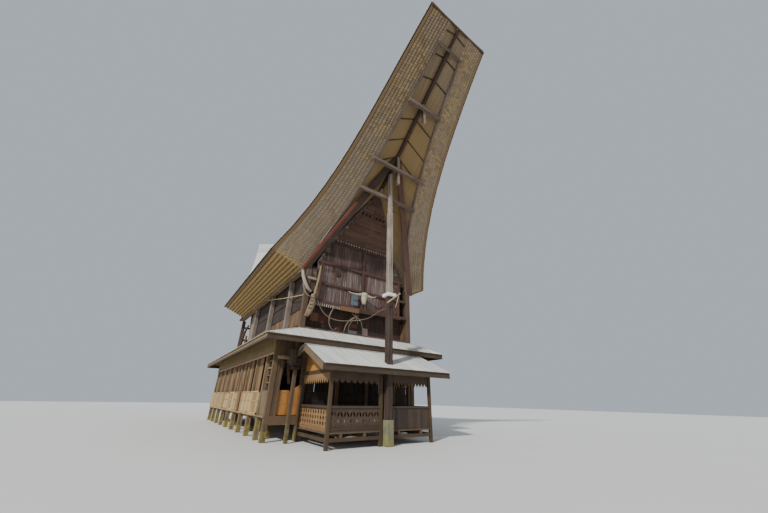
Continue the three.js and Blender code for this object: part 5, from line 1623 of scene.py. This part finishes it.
# Things hung and nailed in the recess
# A dry forked branch and a bent vine hang from the low ledge, and short painted and bare boards are nailed
# to the wall behind them. Each branch is its points, x and z, and the radius of its thick end.
BRANCH_Y = -5.26
VINE_TURN, VINE_END = (-1.14, 3.44), (-1.02, 3.54)
BRANCHES = [
    ([(-0.28, 4.34), (-0.27, 4.18), (-0.25, 4.04)], 0.024),
    ([(-0.25, 4.06), (-0.38, 4.00), (-0.55, 3.86), (-0.67, 3.66), (-0.74, 3.38)], 0.022),
    ([(-0.26, 4.06), (-0.10, 4.02), (0.02, 3.88), (0.07, 3.66), (0.08, 3.42)], 0.022),
    ([(-0.30, 4.03), (-0.42, 3.88), (-0.52, 3.68), (-0.56, 3.46)], 0.015),
    ([(-0.24, 4.03), (-0.17, 3.92), (-0.15, 3.78)], 0.014),
    ([(-0.27, 4.08), (-0.38, 4.14), (-0.40, 4.24)], 0.014),
    ([(-0.24, 4.08), (-0.14, 4.13), (-0.16, 4.24)], 0.014),
    ([(-1.16, 4.34), (-1.27, 4.16), (-1.36, 3.92), (-1.36, 3.68), (-1.27, 3.50), VINE_TURN, VINE_END], 0.022),
]
dry_branch = bare_wood("dry branch, grey tan", "#7d6c55", "#94836b", "#4b3d2e", grain_mm=6)
red_brown = bare_wood("short boards, red brown", "#63392a", "#7a5138", "#341b12")
pink_board = bare_wood("short board, pale", "#8d766c", "#a79087", "#5f4c44")
vine = bmesh.new()
for number, (points, thick_end) in enumerate(BRANCHES):
    radii = [thick_end * (1 - 0.45 * i / (len(points) - 1)) for i in range(len(points))]
    rod(vine, [(x, BRANCH_Y - 0.01 * (i % 2), z) for i, (x, z) in enumerate(points)], radii, 7, number)
grained(vine)
set_piece(vine, "recess_branch_and_vine", dry_branch)
wall_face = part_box("room_wall_front")[0].y
red_spans = [(-1.96, -1.64, 3.74, 4.05), (-1.62, -1.36, 3.70, 3.98), (-0.42, 0.02, 3.70, 3.86)]
for name, finish, spans in (
    ("recess_slate_board", slate_board, [(-0.33, 0.04, 3.42, 3.60)]),
    ("recess_pale_board", pink_board, [(0.30, 0.54, 3.42, 3.77)]),
    ("recess_red_boards", red_brown, red_spans),
):
    nailed = bmesh.new()
    for k, (x0, x1, z0, z1) in enumerate(spans):
        board(nailed, (x0, wall_face - 0.02, z0), (x1, wall_face + 0.004, z1), k + 1)
    finish_boards(nailed, name, finish)


# Stick on the prop
# A pale bamboo stick is tied to the collar of the prop post, with a thin split beside it.
stick = bmesh.new()
rod(stick, [(-0.22, -7.31, 4.16), (0.0, -7.32, 4.34), (0.34, -7.31, 4.60)], [0.022, 0.022, 0.02], 8)
rod(stick, [(0.30, -7.30, 4.62), (0.22, -7.31, 4.35), (0.12, -7.31, 4.05)], [0.01, 0.012, 0.012], 6, 1)
grained(stick)
set_piece(stick, "prop_bamboo_stick", pale_bamboo)


# Floor and light
# A plain pale floor under the feet, a sun high at the front left, a broad soft light low in front, and an
# even sky.
floor_mesh = bmesh.new()
bmesh.ops.create_grid(floor_mesh, x_segments=1, y_segments=1, size=60.0)
floor_finish, floor_tree, floor_shader = new_finish("plain pale floor", 0.9)
floor_place = add(floor_tree, "TexCoord", out="Object")
floor_map = add(floor_tree, "Mapping", {"Vector": floor_place, "Scale": (0.5, 0.5, 0.5)})
floor_cloud = add(floor_tree, "TexNoise", {"Vector": floor_map, "Scale": 1.0, "Detail": 2.0})
floor_tone = add(floor_tree, "Mix", {0: floor_cloud, 6: "#dcdad4", 7: "#e2e0da"}, out=2, data_type="RGBA")
floor_tree.links.new(floor_tone, floor_shader.inputs["Base Color"])
floor_sheet = bpy.data.meshes.new("studio_floor")
floor_mesh.to_mesh(floor_sheet)
floor_mesh.free()
floor_sheet.materials.append(floor_finish)
studio_floor = bpy.data.objects.new("studio_floor", floor_sheet)
bpy.context.scene.collection.objects.link(studio_floor)
studio_floor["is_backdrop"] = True

sky = bpy.data.worlds.new("soft sky")
sky.use_nodes = True
sky.node_tree.nodes["Background"].inputs["Color"].default_value = linear("#dfe9f5")
sky.node_tree.nodes["Background"].inputs["Strength"].default_value = 0.62
bpy.context.scene.world = sky
key = bpy.data.lights.new("key", "SUN")
key.energy, key.angle = 3.6, 0.06
fill = bpy.data.lights.new("fill", "AREA")
fill.energy, fill.size = 450, 12
for lamp, place, aim in ((key, (-20, -11, 19), (0, 0, 4)), (fill, (-12, -22, 4), (0, -4, 6))):
    light = bpy.data.objects.new(lamp.name, lamp)
    turned = (Vector(place) - Vector(aim)).to_track_quat("Z", "Y").to_matrix().to_4x4()
    light.matrix_world = Matrix.Translation(place) @ turned
    bpy.context.scene.collection.objects.link(light)

low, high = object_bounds()
